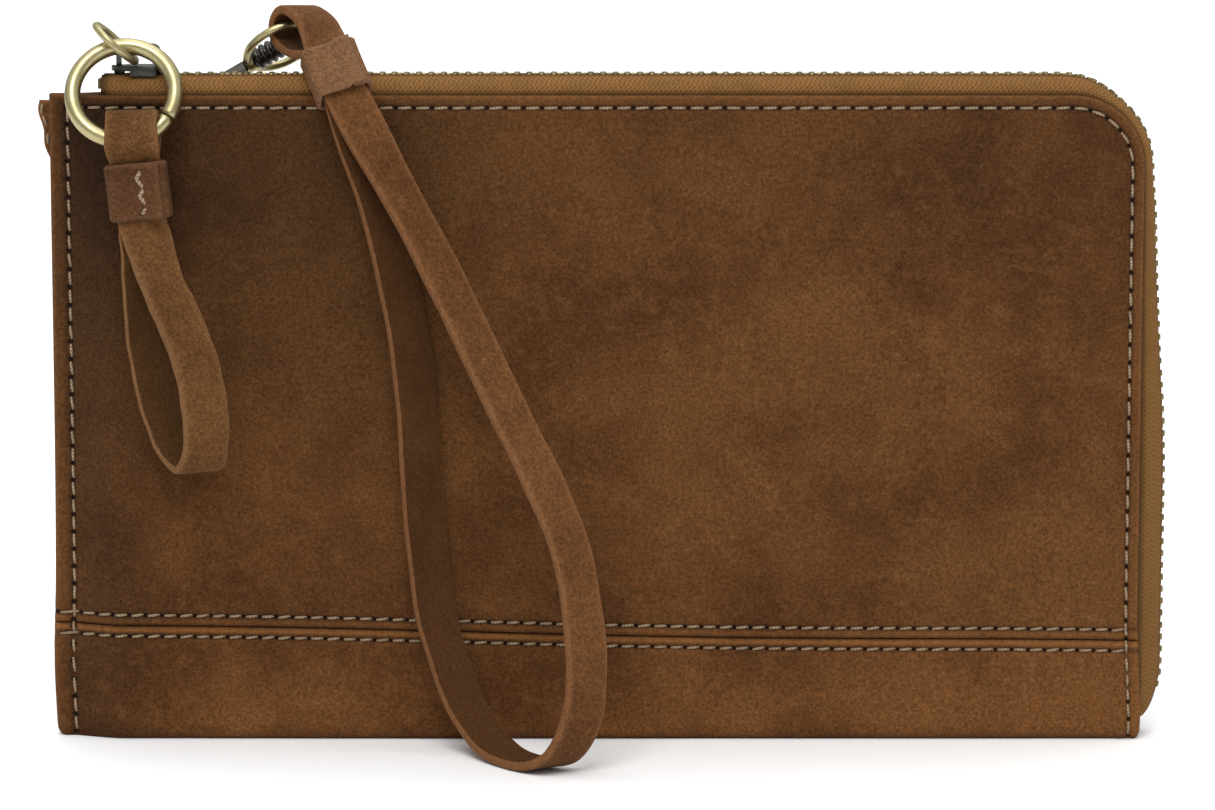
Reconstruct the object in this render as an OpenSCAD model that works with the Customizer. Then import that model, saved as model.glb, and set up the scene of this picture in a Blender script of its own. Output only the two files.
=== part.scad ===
// Wristlet wallet: a slim leather pouch with an L-shaped zip, a ring-and-fob zip pull,
// and a wrist strap on a swivel snap hook. Millimetres, +Z up, the front faces -Y.
// The origin is the centre of the bottom fold, on the surface that the pouch stands on.

/* [Pouch] */
// Width of the leather panels
panel_w = 212; // [190:1:230]
// Height of the leather panels
panel_h = 127.5; // [115:0.5:140]
// Half of the pouch's thickness along the zip
half_t = 6.5; // [5.5:0.5:8]
// How much further each face bulges at its middle
bulge = 2; // [0:0.5:3]
// Half of the thickness where the two faces are sewn together at the left seam
seam_half_t = 2.2; // [2.2:0.1:3]
// Radius of the panels' top right corner
corner_r = 14; // [10:1:20]
// Height of the seam between an upper panel and the bottom band
band_h = 21.5; // [16:0.5:30]
// Leather thickness of the panels
leather_t = 1.4; // [1:0.1:1.5]

/* [Zip] */
// Distance between teeth of one row
tooth_pitch = 2.4; // [2.2:0.1:3]
// Height of the chain's top above the leather's edge
chain_rise = 4.3; // [4:0.1:4.4]
// How far the tape runs on inside, below the leather's edge
tape_hem = 9; // [6:1:12]
// Where the slider's middle stands along X when the zip is shut
slider_x = -89.8; // [-91:0.1:-88]

/* [Zip pull] */
// Radius of the large ring's wire centre line
pull_ring_r = 9.95; // [9:0.05:11]
// Radius of the large ring's wire
pull_wire_r = 1.55; // [1.2:0.05:1.6]
// How far the large ring leans back at its top
pull_lean = 27.5; // [25:0.5:29]
// Radius of the jump ring's wire centre line
jump_ring_r = 5.1; // [5:0.05:5.2]
// Radius of the jump ring's wire
jump_wire_r = 0.75; // [0.6:0.05:0.75]
// Width of the fob's leather strip
fob_w = 9.4; // [8:0.1:10]
// Thickness of the fob's leather strip
fob_t = 1.6; // [1.2:0.1:1.6]

/* [Wristlet] */
// Width of the wrist strap
strap_w = 8.5; // [7:0.5:9]
// Thickness of the wrist strap
strap_t = 1.8; // [1.4:0.1:1.8]
// Length of the keepers round the strap and the fob
keeper_len = 11; // [9:0.5:12]
// Upward slope of the snap hook
clasp_pitch = 29.9; // [29:0.1:31]
// How far the snap hook turns towards the front
clasp_yaw = 5; // [4:0.1:6]
// Radius of the swivel eye's wire centre line
eye_ring_r = 7; // [6.8:0.1:7.2]

/* [Hidden] */
$fn = 48;

leather = "sienna";
strap_leather = "peru";
tape_cloth = "darkgoldenrod";
antique_brass = "darkkhaki";
gunmetal = "dimgray";
cloth = "tan";
thread_cloth = "wheat";

x_left = -panel_w / 2;
x_right = panel_w / 2;
corner_x = x_right - corner_r;
corner_z = panel_h - corner_r;
// The left seam opens out to the full thickness over this width
seam_run = 12;
// Shape of the bottom fold as shares of the half thickness: flat part, round part, height
fold_flat = 0.65;
fold_round = 1 - fold_flat;
fold_high = 0.6;
// Columns that every wall of the pouch is built on
seam_steps = 8;
wall_xs = concat(
    [for (i = [0 : seam_steps]) x_left + seam_run * i / seam_steps],
    [-74, -54, -34, -14, 6, 26, 46, 66, 80],
    [for (a = [0 : 22.5 : 90]) corner_x + corner_r * sin(a)]);

function lerp(a, b, t) = a + (b - a) * t;
function clamp01(t) = min(1, max(0, t));
function smooth(t) = let(c = clamp01(t)) c * c * (3 - 2 * c);
function arch(t) = let(c = clamp01(t)) 4 * c * (1 - c);
function unit(v) = v / norm(v);
function flatten(rows) = [for (row = rows) for (p = row) p];

// Height of the leather's top edge at x
function edge_z(x) =
    x <= corner_x ? panel_h : corner_z + sqrt(max(0, corner_r * corner_r - pow(x - corner_x, 2)));
// How far the left seam has opened, straight between the wall's columns
seam_table = [for (i = [0 : seam_steps]) [x_left + seam_run * i / seam_steps, smooth(i / seam_steps)]];
// Half of the pouch's thickness at a point of its face
function half_at(x, z) =
    lerp(seam_half_t, half_t, lookup(x, seam_table))
    + bulge * arch((x - x_left) / panel_w) * arch(z / panel_h) * smooth((x - x_left) / 60);

// The wall's columns between two places, with both places
function columns(xa, xb) = concat([xa], [for (x = wall_xs) if (x > xa + 0.01 && x < xb - 0.01) x], [xb]);

// A closed solid between two grids of points, both [row][column], seen from the first grid's side
module slab(outer, inner) {
    nr = len(outer);
    nc = len(outer[0]);
    count = nr * nc;
    function at(r, c) = r * nc + c;
    rim = concat(
        [for (c = [0 : nc - 2]) [at(0, c), at(0, c + 1)]],
        [for (r = [0 : nr - 2]) [at(r, nc - 1), at(r + 1, nc - 1)]],
        [for (c = [nc - 1 : -1 : 1]) [at(nr - 1, c), at(nr - 1, c - 1)]],
        [for (r = [nr - 1 : -1 : 1]) [at(r, 0), at(r - 1, 0)]]);
    polyhedron(
        points = concat(flatten(outer), flatten(inner)),
        faces = concat(
            [for (r = [0 : nr - 2]) for (c = [0 : nc - 2]) each [
                [at(r, c), at(r + 1, c + 1), at(r, c + 1)],
                [at(r, c), at(r + 1, c), at(r + 1, c + 1)]]],
            [for (r = [0 : nr - 2]) for (c = [0 : nc - 2]) each [
                [count + at(r, c), count + at(r, c + 1), count + at(r + 1, c + 1)],
                [count + at(r, c), count + at(r + 1, c + 1), count + at(r + 1, c)]]],
            [for (e = rim) each [
                [e[0], e[1], count + e[0]],
                [e[1], count + e[1], count + e[0]]]]));
}

// One point of a face: side is -1 at the front and 1 at the back, depth is below the leather's surface
function face_point(side, x, z, depth) = [x, side * (half_at(x, z) - depth), z];

// A layer of a face between two depths, from z_low up to top_gap under the edge
module face_layer(side, xs, z_low, top_gap, rows, d_out, d_in) {
    function grid(depth) = [for (r = [0 : rows])
        [for (x = xs) face_point(side, x, lerp(z_low, edge_z(x) - top_gap, r / rows), depth)]];
    if (side < 0)
        slab(grid(d_out), grid(d_in));
    else
        slab(grid(d_in), grid(d_out));
}

// Half of the section round the bottom fold at x, from the side to the middle of the base
function fold_half(x, depth, steps) =
    let(h = half_at(x, fold_high * half_t) - depth)
    [for (i = [0 : steps]) let(a = 90 * i / steps)
        [h * (fold_flat + fold_round * cos(a)), depth + fold_high * h * (1 - sin(a))]];

// The whole section at x as [y, z] from the front's top over the fold to the back's top
function fold_section(x, depth, z_top, upper_rows, steps) =
    let(h0 = fold_high * (half_at(x, fold_high * half_t) - depth) + depth)
    let(side = concat(
        [for (r = [0 : upper_rows - 1]) let(z = lerp(z_top, h0, r / upper_rows))
            [half_at(x, z) - depth, z]],
        fold_half(x, depth, steps)))
    concat([for (p = side) [-p[0], p[1]]], [for (i = [len(side) - 1 : -1 : 0]) side[i]]);

// A layer that runs down the front, round the bottom fold and up the back
module fold_layer(xs, top_of_x, upper_rows, steps, d_out, d_in) {
    function grid(depth) =
        let(sections = [for (i = [0 : len(xs) - 1]) fold_section(xs[i], depth, top_of_x[i], upper_rows, steps)])
        [for (r = [0 : len(sections[0]) - 1])
            [for (i = [0 : len(xs) - 1]) [xs[i], sections[i][r][0], sections[i][r][1]]]];
    slab(grid(d_in), grid(d_out));
}

// ---- Leather shell ----

// Gap between an upper panel and the band at their seam
seam_gap = 0.1;
panel_rows = 6;
fold_steps = 4;

module upper_panel(side) {
    color(leather) face_layer(side, wall_xs, band_h + seam_gap, 0, panel_rows, 0, leather_t);
}
module front_panel() { upper_panel(-1); }
module back_panel() { upper_panel(1); }
module bottom_band() {
    color(leather) fold_layer(wall_xs, [for (x = wall_xs) band_h], 2, fold_steps, 0, leather_t);
}

// ---- Inner layers ----

stiffener_out = leather_t + 0.1;
stiffener_in = stiffener_out + 0.7;
lining_out = stiffener_in + 0.25;
lining_in = lining_out + 0.4;
pocket_t = 0.5;
pocket_gap = 0.2;
// Inner layers start here, where the seam has opened
inner_left = x_left + 10;
inner_right = x_right - 3;
// The tape's hem hangs between the leather and the lining, so the stiffener stops below it
stiffener_top_gap = tape_hem + 1;
lining_top_gap = 3;

module stiffener(side) {
    color("darkslategray")
        face_layer(side, columns(inner_left, corner_x), band_h + 1, stiffener_top_gap, 4,
            stiffener_out, stiffener_in);
}
module front_stiffener() { stiffener(-1); }
module back_stiffener() { stiffener(1); }
module lining() {
    xs = columns(inner_left, inner_right);
    color(cloth) fold_layer(xs, [for (x = xs) edge_z(x) - lining_top_gap - corner_r * smooth((x - corner_x) / corner_r)],
        4, fold_steps, lining_out, lining_in);
}

// A flat pocket on a wall: index counts inwards from the lining
module pocket(side, index, xa, xb, za, zb) {
    d = lining_in + pocket_gap + (pocket_t + pocket_gap) * index;
    xs = columns(xa, xb);
    rows = 3;
    function grid(depth) = [for (r = [0 : rows]) [for (x = xs) face_point(side, x, lerp(za, zb, r / rows), depth)]];
    color(cloth)
        if (side < 0) slab(grid(d), grid(d + pocket_t));
        else slab(grid(d + pocket_t), grid(d));
}
// Card pockets hold a card 86 mm wide and 54 mm high
card_left = -60;
card_w = 92;
card_h = 62;
card_step = 9;
pocket_base = 24;
slip_left = -70;
slip_right = 80;
slip_top = 88;
module card_pocket(index) {
    pocket(1, index, card_left, card_left + card_w, pocket_base, pocket_base + card_h - card_step * index);
}
module card_pocket_1() { card_pocket(0); }
module card_pocket_2() { card_pocket(1); }
module card_pocket_3() { card_pocket(2); }
module slip_pocket() { pocket(-1, 0, slip_left, slip_right, pocket_base, slip_top); }

// ---- Threads ----

thread_w = 0.5;
thread_t = 0.25;
thread_lift = 0.03;
edge_inset = 2.4;
seam_inset = 1.9;

// A thread that follows a list of [x, z] along a face
module face_thread(side, route) {
    n = len(route);
    function across(i) =
        let(d = unit(route[min(n - 1, i + 1)] - route[max(0, i - 1)])) [-d[1], d[0]] * thread_w / 2;
    function row(w, lift) = [for (i = [0 : n - 1])
        let(p = route[i] + across(i) * w) face_point(side, p[0], p[1], -lift)];
    outer = [row(1, thread_lift + thread_t), row(-1, thread_lift + thread_t)];
    inner = [row(1, thread_lift), row(-1, thread_lift)];
    color(thread_cloth)
        if (side < 0) slab(inner, outer);
        else slab(outer, inner);
}
thread_corner_r = corner_r - edge_inset;
edge_route = concat(
    [[x_left + edge_inset, 3.5], [x_left + edge_inset, 30], [x_left + edge_inset, 60],
     [x_left + edge_inset, 95], [x_left + edge_inset, panel_h - edge_inset]],
    [for (x = wall_xs) if (x > x_left + edge_inset + 0.4 && x < corner_x) [x, panel_h - edge_inset]],
    [for (a = [0 : 15 : 90]) [corner_x + thread_corner_r * sin(a), corner_z + thread_corner_r * cos(a)]],
    [[x_right - edge_inset, 95], [x_right - edge_inset, 60], [x_right - edge_inset, 30], [x_right - edge_inset, 5]]);
module front_edge_thread() { face_thread(-1, edge_route); }
module back_edge_thread() { face_thread(1, edge_route); }
module seam_threads(side) {
    for (z = [band_h - seam_inset, band_h + seam_inset])
        face_thread(side, [for (x = columns(x_left + edge_inset + 1, x_right - edge_inset - 1)) [x, z]]);
}
module front_seam_thread() { seam_threads(-1); }
module back_seam_thread() { seam_threads(1); }

// ---- Zip ----

tape_t = 0.5;
tape_left = x_left + 9;
// The zip leaves the straight side here and curves in until it is hidden behind the leather
zip_turn_z = 14;
zip_bottom = 4.2;
tape_gap = 0.1;
slit_half = 2.2;
// Height of the chain's middle line above the leather's edge
chain_mid = chain_rise - 1.2;
// Share of the chain's rise that is left at height z
function rise_at(z) = z >= zip_turn_z ? 1 : sqrt(max(0, 1 - pow((zip_turn_z - z) / (zip_turn_z - zip_bottom + 0.4), 2)));

// Stations along the zip's path: [point on the leather's edge in X and Z, outward normal, share of the rise]
zip_stations = concat(
    [for (x = [tape_left, tape_left + 2, tape_left + 4, -80, -54, -34, -14, 6, 26, 46, 66, corner_x])
        [[x, panel_h], [0, 1], 1]],
    [for (a = [15 : 15 : 90])
        [[corner_x + corner_r * sin(a), corner_z + corner_r * cos(a)], [sin(a), cos(a)], 1]],
    [for (z = [80, 50, zip_turn_z, 10, 7, 5.2, zip_bottom]) [[x_right, z], [1, 0], rise_at(z)]]);

// Half section of the tape as [y, height], from the hem up to the slit and back inside.
// yh is the tape's outer face at the hem, and yt the same at the leather's edge.
function tape_profile(yh, yt) = [
    [yh, -tape_hem], [yt, 0.2], [yt - 1, chain_mid], [slit_half, chain_mid + 0.1],
    [slit_half, chain_mid - 0.4], [yt - 1.4, chain_mid - 0.5], [yt - tape_t, 0.1], [yh - tape_t, -tape_hem]];

module zip_tape(side) {
    n = len(zip_stations);
    rings = [for (s = zip_stations)
        let(hem = s[0] - tape_hem * s[1])
        let(yh = half_at(hem[0], hem[1]) - leather_t - tape_gap)
        let(yt = half_at(s[0][0], s[0][1]) - leather_t - tape_gap)
        [for (p = tape_profile(yh, yt)) let(out = p[1] > 0 ? p[1] * s[2] : p[1])
            [s[0][0] + s[1][0] * out, side * p[0], s[0][1] + s[1][1] * out]]];
    m = len(rings[0]);
    function at(i, k) = i * m + (k % m);
    function turn(f) = side < 0 ? f : [f[2], f[1], f[0]];
    // The section is not convex, so its end is cut into triangles that follow the bend
    cap = [for (k = [0 : 2]) each [[k, k + 1, m - 2 - k], [k, m - 2 - k, m - 1 - k]]];
    color(tape_cloth) polyhedron(
        points = flatten(rings),
        faces = concat(
            [for (i = [0 : n - 2]) for (k = [0 : m - 1]) each [
                turn([at(i, k), at(i, k + 1), at(i + 1, k + 1)]),
                turn([at(i, k), at(i + 1, k + 1), at(i + 1, k)])]],
            [for (f = cap) turn([f[2], f[1], f[0]])],
            [for (f = cap) turn([(n - 1) * m + f[0], (n - 1) * m + f[1], (n - 1) * m + f[2]])]));
}
module zip_tape_front() { zip_tape(-1); }
module zip_tape_back() { zip_tape(1); }

// Places along the chain's middle line, by distance from the slider's nose
chain_start = slider_x - 2;
top_run = corner_x - chain_start;
chain_mid_r = corner_r + chain_mid;
corner_run = chain_mid_r * PI / 2;
side_run = corner_z - zip_bottom;
chain_len = top_run + corner_run + side_run;

// Moves children, drawn with +X along the chain and +Z outward, to distance s along the chain
module on_chain(s) {
    if (s < top_run)
        translate([chain_start + s, 0, panel_h + chain_mid]) children();
    else if (s < top_run + corner_run)
        translate([corner_x, 0, corner_z]) rotate([0, (s - top_run) / corner_run * 90, 0])
            translate([0, 0, chain_mid_r]) children();
    else
        let(z = corner_z - (s - top_run - corner_run))
            translate([x_right + chain_mid * rise_at(z), 0, z]) rotate([0, 90, 0]) children();
}
tooth_l = 1;
tooth_h = 2.2;
// How far a tooth reaches past the chain's middle line
tooth_reach = 0.6;
// Gap between the metal parts and the tape's slit
slit_gap = 0.05;
// Teeth of one row; the other row sits half a pitch further on
module zip_teeth(side) {
    offset_s = side < 0 ? 0 : tooth_pitch / 2;
    color(antique_brass)
        for (s = [offset_s : tooth_pitch : chain_len])
            on_chain(s)
                translate([-tooth_l / 2, side < 0 ? -slit_half + slit_gap : -tooth_reach, -tooth_h / 2])
                    cube([tooth_l, slit_half - slit_gap + tooth_reach, tooth_h]);
}
module zip_teeth_front() { zip_teeth(-1); }
module zip_teeth_back() { zip_teeth(1); }

stop_l = 1.6;
stop_h = 2;
// Half of the gap between the two clips at the shut end
stop_part = 0.3;
// How far the clips stand behind the chain's first tooth
stop_back = 6;
// The open end's bar, behind the leather's edge
stop_bar_h = 2.6;
stop_bar_in = 3;
module zip_end_stops() {
    clip_w = slit_half - slit_gap - stop_part;
    color(antique_brass) {
        for (side = [-1, 1])
            translate([chain_start - stop_back, side < 0 ? -stop_part - clip_w : stop_part, panel_h + stop_h / 2])
                cube([stop_l, clip_w, stop_h]);
        translate([x_right - stop_bar_in, -slit_half + 2 * slit_gap, zip_bottom - 1])
            cube([stop_bar_h, 2 * (slit_half - 2 * slit_gap), stop_l]);
    }
}

// ---- Slider ----

slider_l = 11;
slider_w = 8.6;
plate_t = 1;
plate_low = panel_h + chain_rise + 0.2;
lower_plate_w = 5.6;
lower_plate_t = 1.1;
lower_plate_z = panel_h + 0.6;
nose_x = slider_x - slider_l / 2;
// The plates' ends are rounded to this radius, and their full width starts here
plate_end_r = 2;
plate_taper = 4;
plate_straight = slider_l - plate_taper - plate_end_r;
wedge_l = 2;
wedge_w = 1.8;
wedge_x = 0.6;
lip_t = 0.6;
lip_h = 1.2;
// How far the lips hang below the upper plate
lip_drop = 0.9;

module plate_outline(w) {
    hull() {
        translate([nose_x + plate_end_r, 0]) circle(r = plate_end_r, $fn = 32);
        translate([nose_x + plate_taper, -w / 2]) square([plate_straight, w]);
        translate([nose_x + slider_l - plate_end_r, 0]) circle(r = plate_end_r, $fn = 32);
    }
}
module slider_body() {
    color(gunmetal) {
        translate([0, 0, plate_low]) linear_extrude(plate_t) plate_outline(slider_w);
        translate([0, 0, lower_plate_z]) linear_extrude(lower_plate_t) plate_outline(lower_plate_w);
        // the wedge that parts the two rows
        translate([nose_x + wedge_x, -wedge_w / 2, lower_plate_z + lower_plate_t / 2])
            cube([wedge_l, wedge_w, plate_low - lower_plate_z]);
        // lips that hold the tape down
        for (side = [-1, 1])
            translate([nose_x + plate_taper, side > 0 ? slider_w / 2 - lip_t : -slider_w / 2, plate_low - lip_drop])
                cube([plate_straight, lip_t, lip_h]);
    }
}
bridge_t = 1;
bridge_w = 2;
bridge_l = 8.6;
bridge_h = 4.2;
bridge_corner_r = 1.5;
bridge_x = slider_x - 0.2;
bridge_z = plate_low + plate_t;
module slider_bridge() {
    color(gunmetal) translate([bridge_x, bridge_w / 2, bridge_z]) rotate([90, 0, 0]) linear_extrude(bridge_w)
        difference() {
            hull() {
                translate([-bridge_l / 2, 0]) square([bridge_l, bridge_t]);
                for (s = [-1, 1])
                    translate([s * (bridge_l / 2 - bridge_corner_r), bridge_h - bridge_corner_r])
                        circle(r = bridge_corner_r, $fn = 32);
            }
            translate([-bridge_l / 2 + bridge_t, -0.01]) square([bridge_l - 2 * bridge_t, bridge_h - bridge_t]);
        }
}

// ---- Zip pull ----

jump_centre = [-94.1, -2.8, 137.4];
jump_tilt = 43;
pull_centre = [-92.1, -8.4, 128.1];
// Where the large ring's gap starts and how wide it is
gap_angle = -30;
gap_size = 3;

module jump_ring() {
    color(antique_brass) translate(jump_centre) rotate([0, jump_tilt, 0])
        rotate_extrude() translate([jump_ring_r, 0]) circle(r = jump_wire_r, $fn = 24);
}
module pull_ring() {
    color(antique_brass) translate(pull_centre) rotate([90 - pull_lean, 0, 0])
        rotate([0, 0, gap_angle + gap_size])
            rotate_extrude(angle = 360 - gap_size) translate([pull_ring_r, 0]) circle(r = pull_wire_r, $fn = 32);
}

// ---- Straps as swept strips ----

// A point of a closed smooth curve through points p, at i + t
function loop_point(p, i, t) =
    let(n = len(p), a = p[(i + n - 1) % n], b = p[i], c = p[(i + 1) % n], d = p[(i + 2) % n])
    0.5 * (2 * b + (c - a) * t + (2 * a - 5 * b + 4 * c - d) * t * t + (3 * b - a - 3 * c + d) * t * t * t);
function loop_curve(p, steps) = [for (i = [0 : len(p) - 1]) for (k = [0 : steps - 1]) loop_point(p, i, k / steps)];

// Straight pieces between two points of a strip's route
strip_steps = 3;

// A closed strip along a curve. ws holds the strip's width direction at each point.
module closed_strip(route, ws, steps, w, t) {
    pts = loop_curve(route, steps);
    dirs = loop_curve(ws, steps);
    n = len(pts);
    rings = [for (i = [0 : n - 1])
        let(along = unit(pts[(i + 1) % n] - pts[(i + n - 1) % n]))
        let(wide = unit(dirs[i] - (dirs[i] * along) * along))
        let(up = cross(along, wide))
        [for (c = [[-1, -1], [1, -1], [1, 1], [-1, 1]]) pts[i] + wide * c[0] * w / 2 + up * c[1] * t / 2]];
    polyhedron(
        points = flatten(rings),
        faces = [for (i = [0 : n - 1]) for (k = [0 : 3])
            let(j = (i + 1) % n, l = (k + 1) % 4)
            each [[i * 4 + k, j * 4 + l, i * 4 + l], [i * 4 + k, j * 4 + k, j * 4 + l]]]);
}

// A straight flat sleeve round two layers of strip
module sleeve(centre, along, wide, length, w_in, t_in, wall) {
    a = unit(along);
    b = unit(wide - (wide * a) * a);
    c = cross(a, b);
    corners = [[-1, -1], [1, -1], [1, 1], [-1, 1]];
    function ring(s, w, t) = [for (k = corners) centre + a * s * length / 2 + b * k[0] * w / 2 + c * k[1] * t / 2];
    pts = concat(ring(-1, w_in + 2 * wall, t_in + 2 * wall), ring(1, w_in + 2 * wall, t_in + 2 * wall),
        ring(-1, w_in, t_in), ring(1, w_in, t_in));
    function quads(p, q, flip) = [for (k = [0 : 3]) let(l = (k + 1) % 4)
        flip ? [p + k, p + l, q + l, q + k] : [q + k, q + l, p + l, p + k]];
    polyhedron(points = pts,
        faces = concat(quads(0, 4, false), quads(8, 12, true), quads(0, 8, true), quads(4, 12, false)));
}

// ---- Fob ----

fob_keeper_centre = [-89, -13.3, 109.6];
fob_along = [0.11, 0, -0.994];
fob_layer = 0.95;
fob_front = [0, -1, 0];
fob_route = concat(
    [[-92.5, -12.8, 124.4], [-92.2, -15.5, 121.5], [-91.4, -15.8, 118]],
    [for (s = [-1, 0, 1]) fob_keeper_centre + fob_along * s * keeper_len / 2 + fob_front * fob_layer],
    [[-87, -15.5, 100], [-84.5, -18.5, 93], [-80.5, -22, 85], [-77, -24.5, 76],
     [-75.5, -25, 66], [-76, -23.5, 59.5], [-77.5, -20, 56.5], [-79.5, -16.5, 57],
     [-82.5, -14.2, 61], [-85, -12.9, 68], [-87, -12.5, 78], [-88, -12.5, 90], [-88.2, -12.6, 100]],
    [for (s = [1, 0, -1]) fob_keeper_centre + fob_along * s * keeper_len / 2 - fob_front * fob_layer],
    [[-91.6, -9.9, 118], [-92.2, -9.7, 121.5]]);
fob_wide_flat = [0.99, 0, 0.1];
fob_wide_open = [0.87, 0.5, 0];
fob_wides = concat(
    [for (i = [0 : 5]) fob_wide_flat], [[0.95, 0.3, 0]],
    [for (i = [0 : 10]) fob_wide_open], [[0.95, 0.3, 0]],
    [for (i = [0 : 4]) fob_wide_flat]);

module fob_loop() { color(strap_leather) closed_strip(fob_route, fob_wides, strip_steps, fob_w, fob_t); }
fob_keeper_wall = 1;
fob_sleeve_t = 2 * fob_layer + fob_t + 0.5;
module fob_keeper() {
    color(strap_leather)
        sleeve(fob_keeper_centre, fob_along, fob_wide_flat, keeper_len, fob_w + 0.5, fob_sleeve_t, fob_keeper_wall);
}
// Three slanted stitches up the keeper's front, each moved sideways from the one above
fob_stitch = [0.7, 0.25, 2.6];
fob_stitch_pitch = 3;
fob_stitch_x = 0.6;
fob_stitch_step = 0.3;
fob_stitch_slant = 20;
module fob_thread() {
    front_y = fob_sleeve_t / 2 + fob_keeper_wall + 0.3;
    color(thread_cloth)
        for (i = [-1 : 1])
            translate(fob_keeper_centre + [fob_stitch_x + fob_stitch_step * i, -front_y, -fob_stitch_pitch * i])
                rotate([0, fob_stitch_slant * (i % 2 == 0 ? 1 : -1), 0])
                    translate([-fob_stitch[0] / 2, 0, -fob_stitch[2] / 2]) cube(fob_stitch);
}

// ---- Wrist strap ----

keeper_centre = [-51, -8, 131.9];
keeper_along = [0.36, -0.53, -0.77];
keeper_wide = [0.97, 0.2, 0.15];
strap_layer = 0.95;
// Outward direction of the stack of two layers
keeper_out = unit(cross(unit(keeper_along), keeper_wide));
function keeper_point(s, layer) =
    keeper_centre + unit(keeper_along) * s * keeper_len / 2 + keeper_out * layer * strap_layer;
// The strap's loop round the swivel eye's wire: its centre, the wire's direction there, and the way the strap leaves
loop_centre = [-59.2, 6.1, 139.9];
ring_wide = [0.758, 0.651, -0.036];
loop_away = unit([0.61, -0.735, -0.3] - ([0.61, -0.735, -0.3] * ring_wide) * ring_wide);
loop_up = cross(loop_away, ring_wide);
loop_r = 3.6;
function loop_at(away, up, sideways) = loop_centre + loop_away * away + loop_up * up + ring_wide * sideways;
function loop_round(a) = loop_at(loop_r * cos(a), loop_r * sin(a), 0);
strap_route = concat(
    [for (a = [180, 135, 90]) loop_round(a)],
    [loop_at(5.5, 3.5, -0.7), loop_at(10, 2.3, -1.9)],
    [for (s = [-1, 0, 1]) keeper_point(s, 1)],
    // right strand, down and forward
    [[-44, -13.5, 119], [-39, -15, 110], [-34.5, -17, 102], [-30, -19, 93.5], [-26, -21, 85.5],
     [-22, -23.5, 77.5], [-17, -27, 67.5], [-11, -31, 56], [-5.5, -35.5, 43], [-3, -38.5, 29],
     [-2.5, -39.5, 19.5], [-3.5, -39.5, 11], [-6.5, -38, 4.5]],
    // along the floor and back
    [[-10.5, -35.5, 1.7], [-15, -31, 1.1], [-19, -25.5, 1.7], [-22.5, -20, 4]],
    // left strand, up beside the pouch
    [[-26.5, -16, 9.5], [-30, -14, 19], [-32.5, -13, 29], [-34.5, -12.6, 49], [-35.8, -12.4, 69],
     [-37, -12.2, 80], [-39.5, -11.8, 93], [-42.5, -11.2, 106], [-46, -10.8, 117]],
    [for (s = [1, 0, -1]) keeper_point(s, -1)],
    [loop_at(8, -2.2, -1.3), loop_at(4, -3.4, -0.4)],
    [for (a = [270, 225]) loop_round(a)]);
strand_wide = [0.85, 0.52, 0];
strap_wides = concat(
    [ring_wide, ring_wide, ring_wide, [0.8, 0.6, 0], [0.88, 0.45, 0.08]], [for (i = [0 : 2]) keeper_wide],
    [[0.92, 0.38, 0.05]], [for (i = [0 : 23]) strand_wide], [[0.92, 0.38, 0.05]],
    [for (i = [0 : 2]) keeper_wide], [[0.88, 0.45, 0.08], [0.8, 0.6, 0], ring_wide, ring_wide]);

strap_keeper_wall = 1;
strap_sleeve_t = 2 * strap_layer + strap_t + 0.8;
module wrist_strap() { color(strap_leather) closed_strip(strap_route, strap_wides, strip_steps, strap_w, strap_t); }
module strap_keeper() {
    color(strap_leather)
        sleeve(keeper_centre, keeper_along, keeper_wide, keeper_len, strap_w + 0.5,
            strap_sleeve_t, strap_keeper_wall);
}

// ---- D-ring and its tab ----

clasp_origin = [-89, 12.6, 121.1];
d_ring_r = 8.5;
d_wire_r = 1;
d_lean = 30;
// The hook's eye holds the ring at this angle up its arc
d_grip = 45;
d_centre = clasp_origin - d_ring_r * [cos(d_grip), sin(d_grip) * sin(d_lean), sin(d_grip) * cos(d_lean)];
tab_w = 8;
tab_t = 1.4;
tab_back_y = 7;
tab_bore_r = d_wire_r + 0.15;
// The patch that the tab is part of: it sticks out past the left seam
patch_left = x_left - 2.6;
patch_right = -91;
patch_low = 108;
patch_top = 126;
patch_gap = 0.35;
patch_rows = 3;

module d_ring_tab() {
    xs = concat([patch_left], columns(x_left, patch_right));
    function grid(depth) =
        [for (r = [0 : patch_rows])
            [for (x = xs) face_point(1, x, lerp(patch_low, patch_top, r / patch_rows), depth)]];
    color(strap_leather) {
        slab(grid(-patch_gap), grid(-patch_gap - tab_t));
        translate([d_centre[0] - tab_w / 2, 0, 0]) rotate([90, 0, 90]) linear_extrude(tab_w) difference() {
            union() {
                translate([d_centre[1], d_centre[2]]) circle(r = tab_bore_r + tab_t);
                translate([tab_back_y, patch_low + 1]) square([tab_t, d_centre[2] - patch_low - 1]);
            }
            translate([d_centre[1], d_centre[2]]) circle(r = tab_bore_r);
        }
    }
}
stitch_l = 2.6;
stitch_w = 0.5;
stitch_t = 0.25;
module tab_thread() {
    color(thread_cloth) {
        // across the tab's foot
        for (x = [-1, 1])
            translate([d_centre[0] + x * tab_w / 4 - stitch_l / 2, tab_back_y + tab_t + 0.03, patch_low + 3])
                cube([stitch_l, stitch_t, stitch_w]);
        // down the patch's free edge, in front and behind
        for (z = [patch_low + 3, (patch_low + patch_top) / 2, patch_top - 3])
            for (y = [seam_half_t + patch_gap - stitch_t - 0.03, seam_half_t + patch_gap + tab_t + 0.03])
                translate([patch_left + 0.8, y, z - stitch_l / 2]) cube([stitch_w, stitch_t, stitch_l]);
    }
}
module d_ring() {
    color(antique_brass) translate(d_centre) rotate([90 - d_lean, 0, 0]) {
        rotate_extrude(angle = 180) translate([d_ring_r, 0]) circle(r = d_wire_r, $fn = 24);
        rotate([0, 90, 0]) cylinder(r = d_wire_r, h = 2 * d_ring_r, center = true);
        for (s = [-1, 1]) translate([s * d_ring_r, 0, 0]) sphere(r = d_wire_r, $fn = 24);
    }
}

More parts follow.
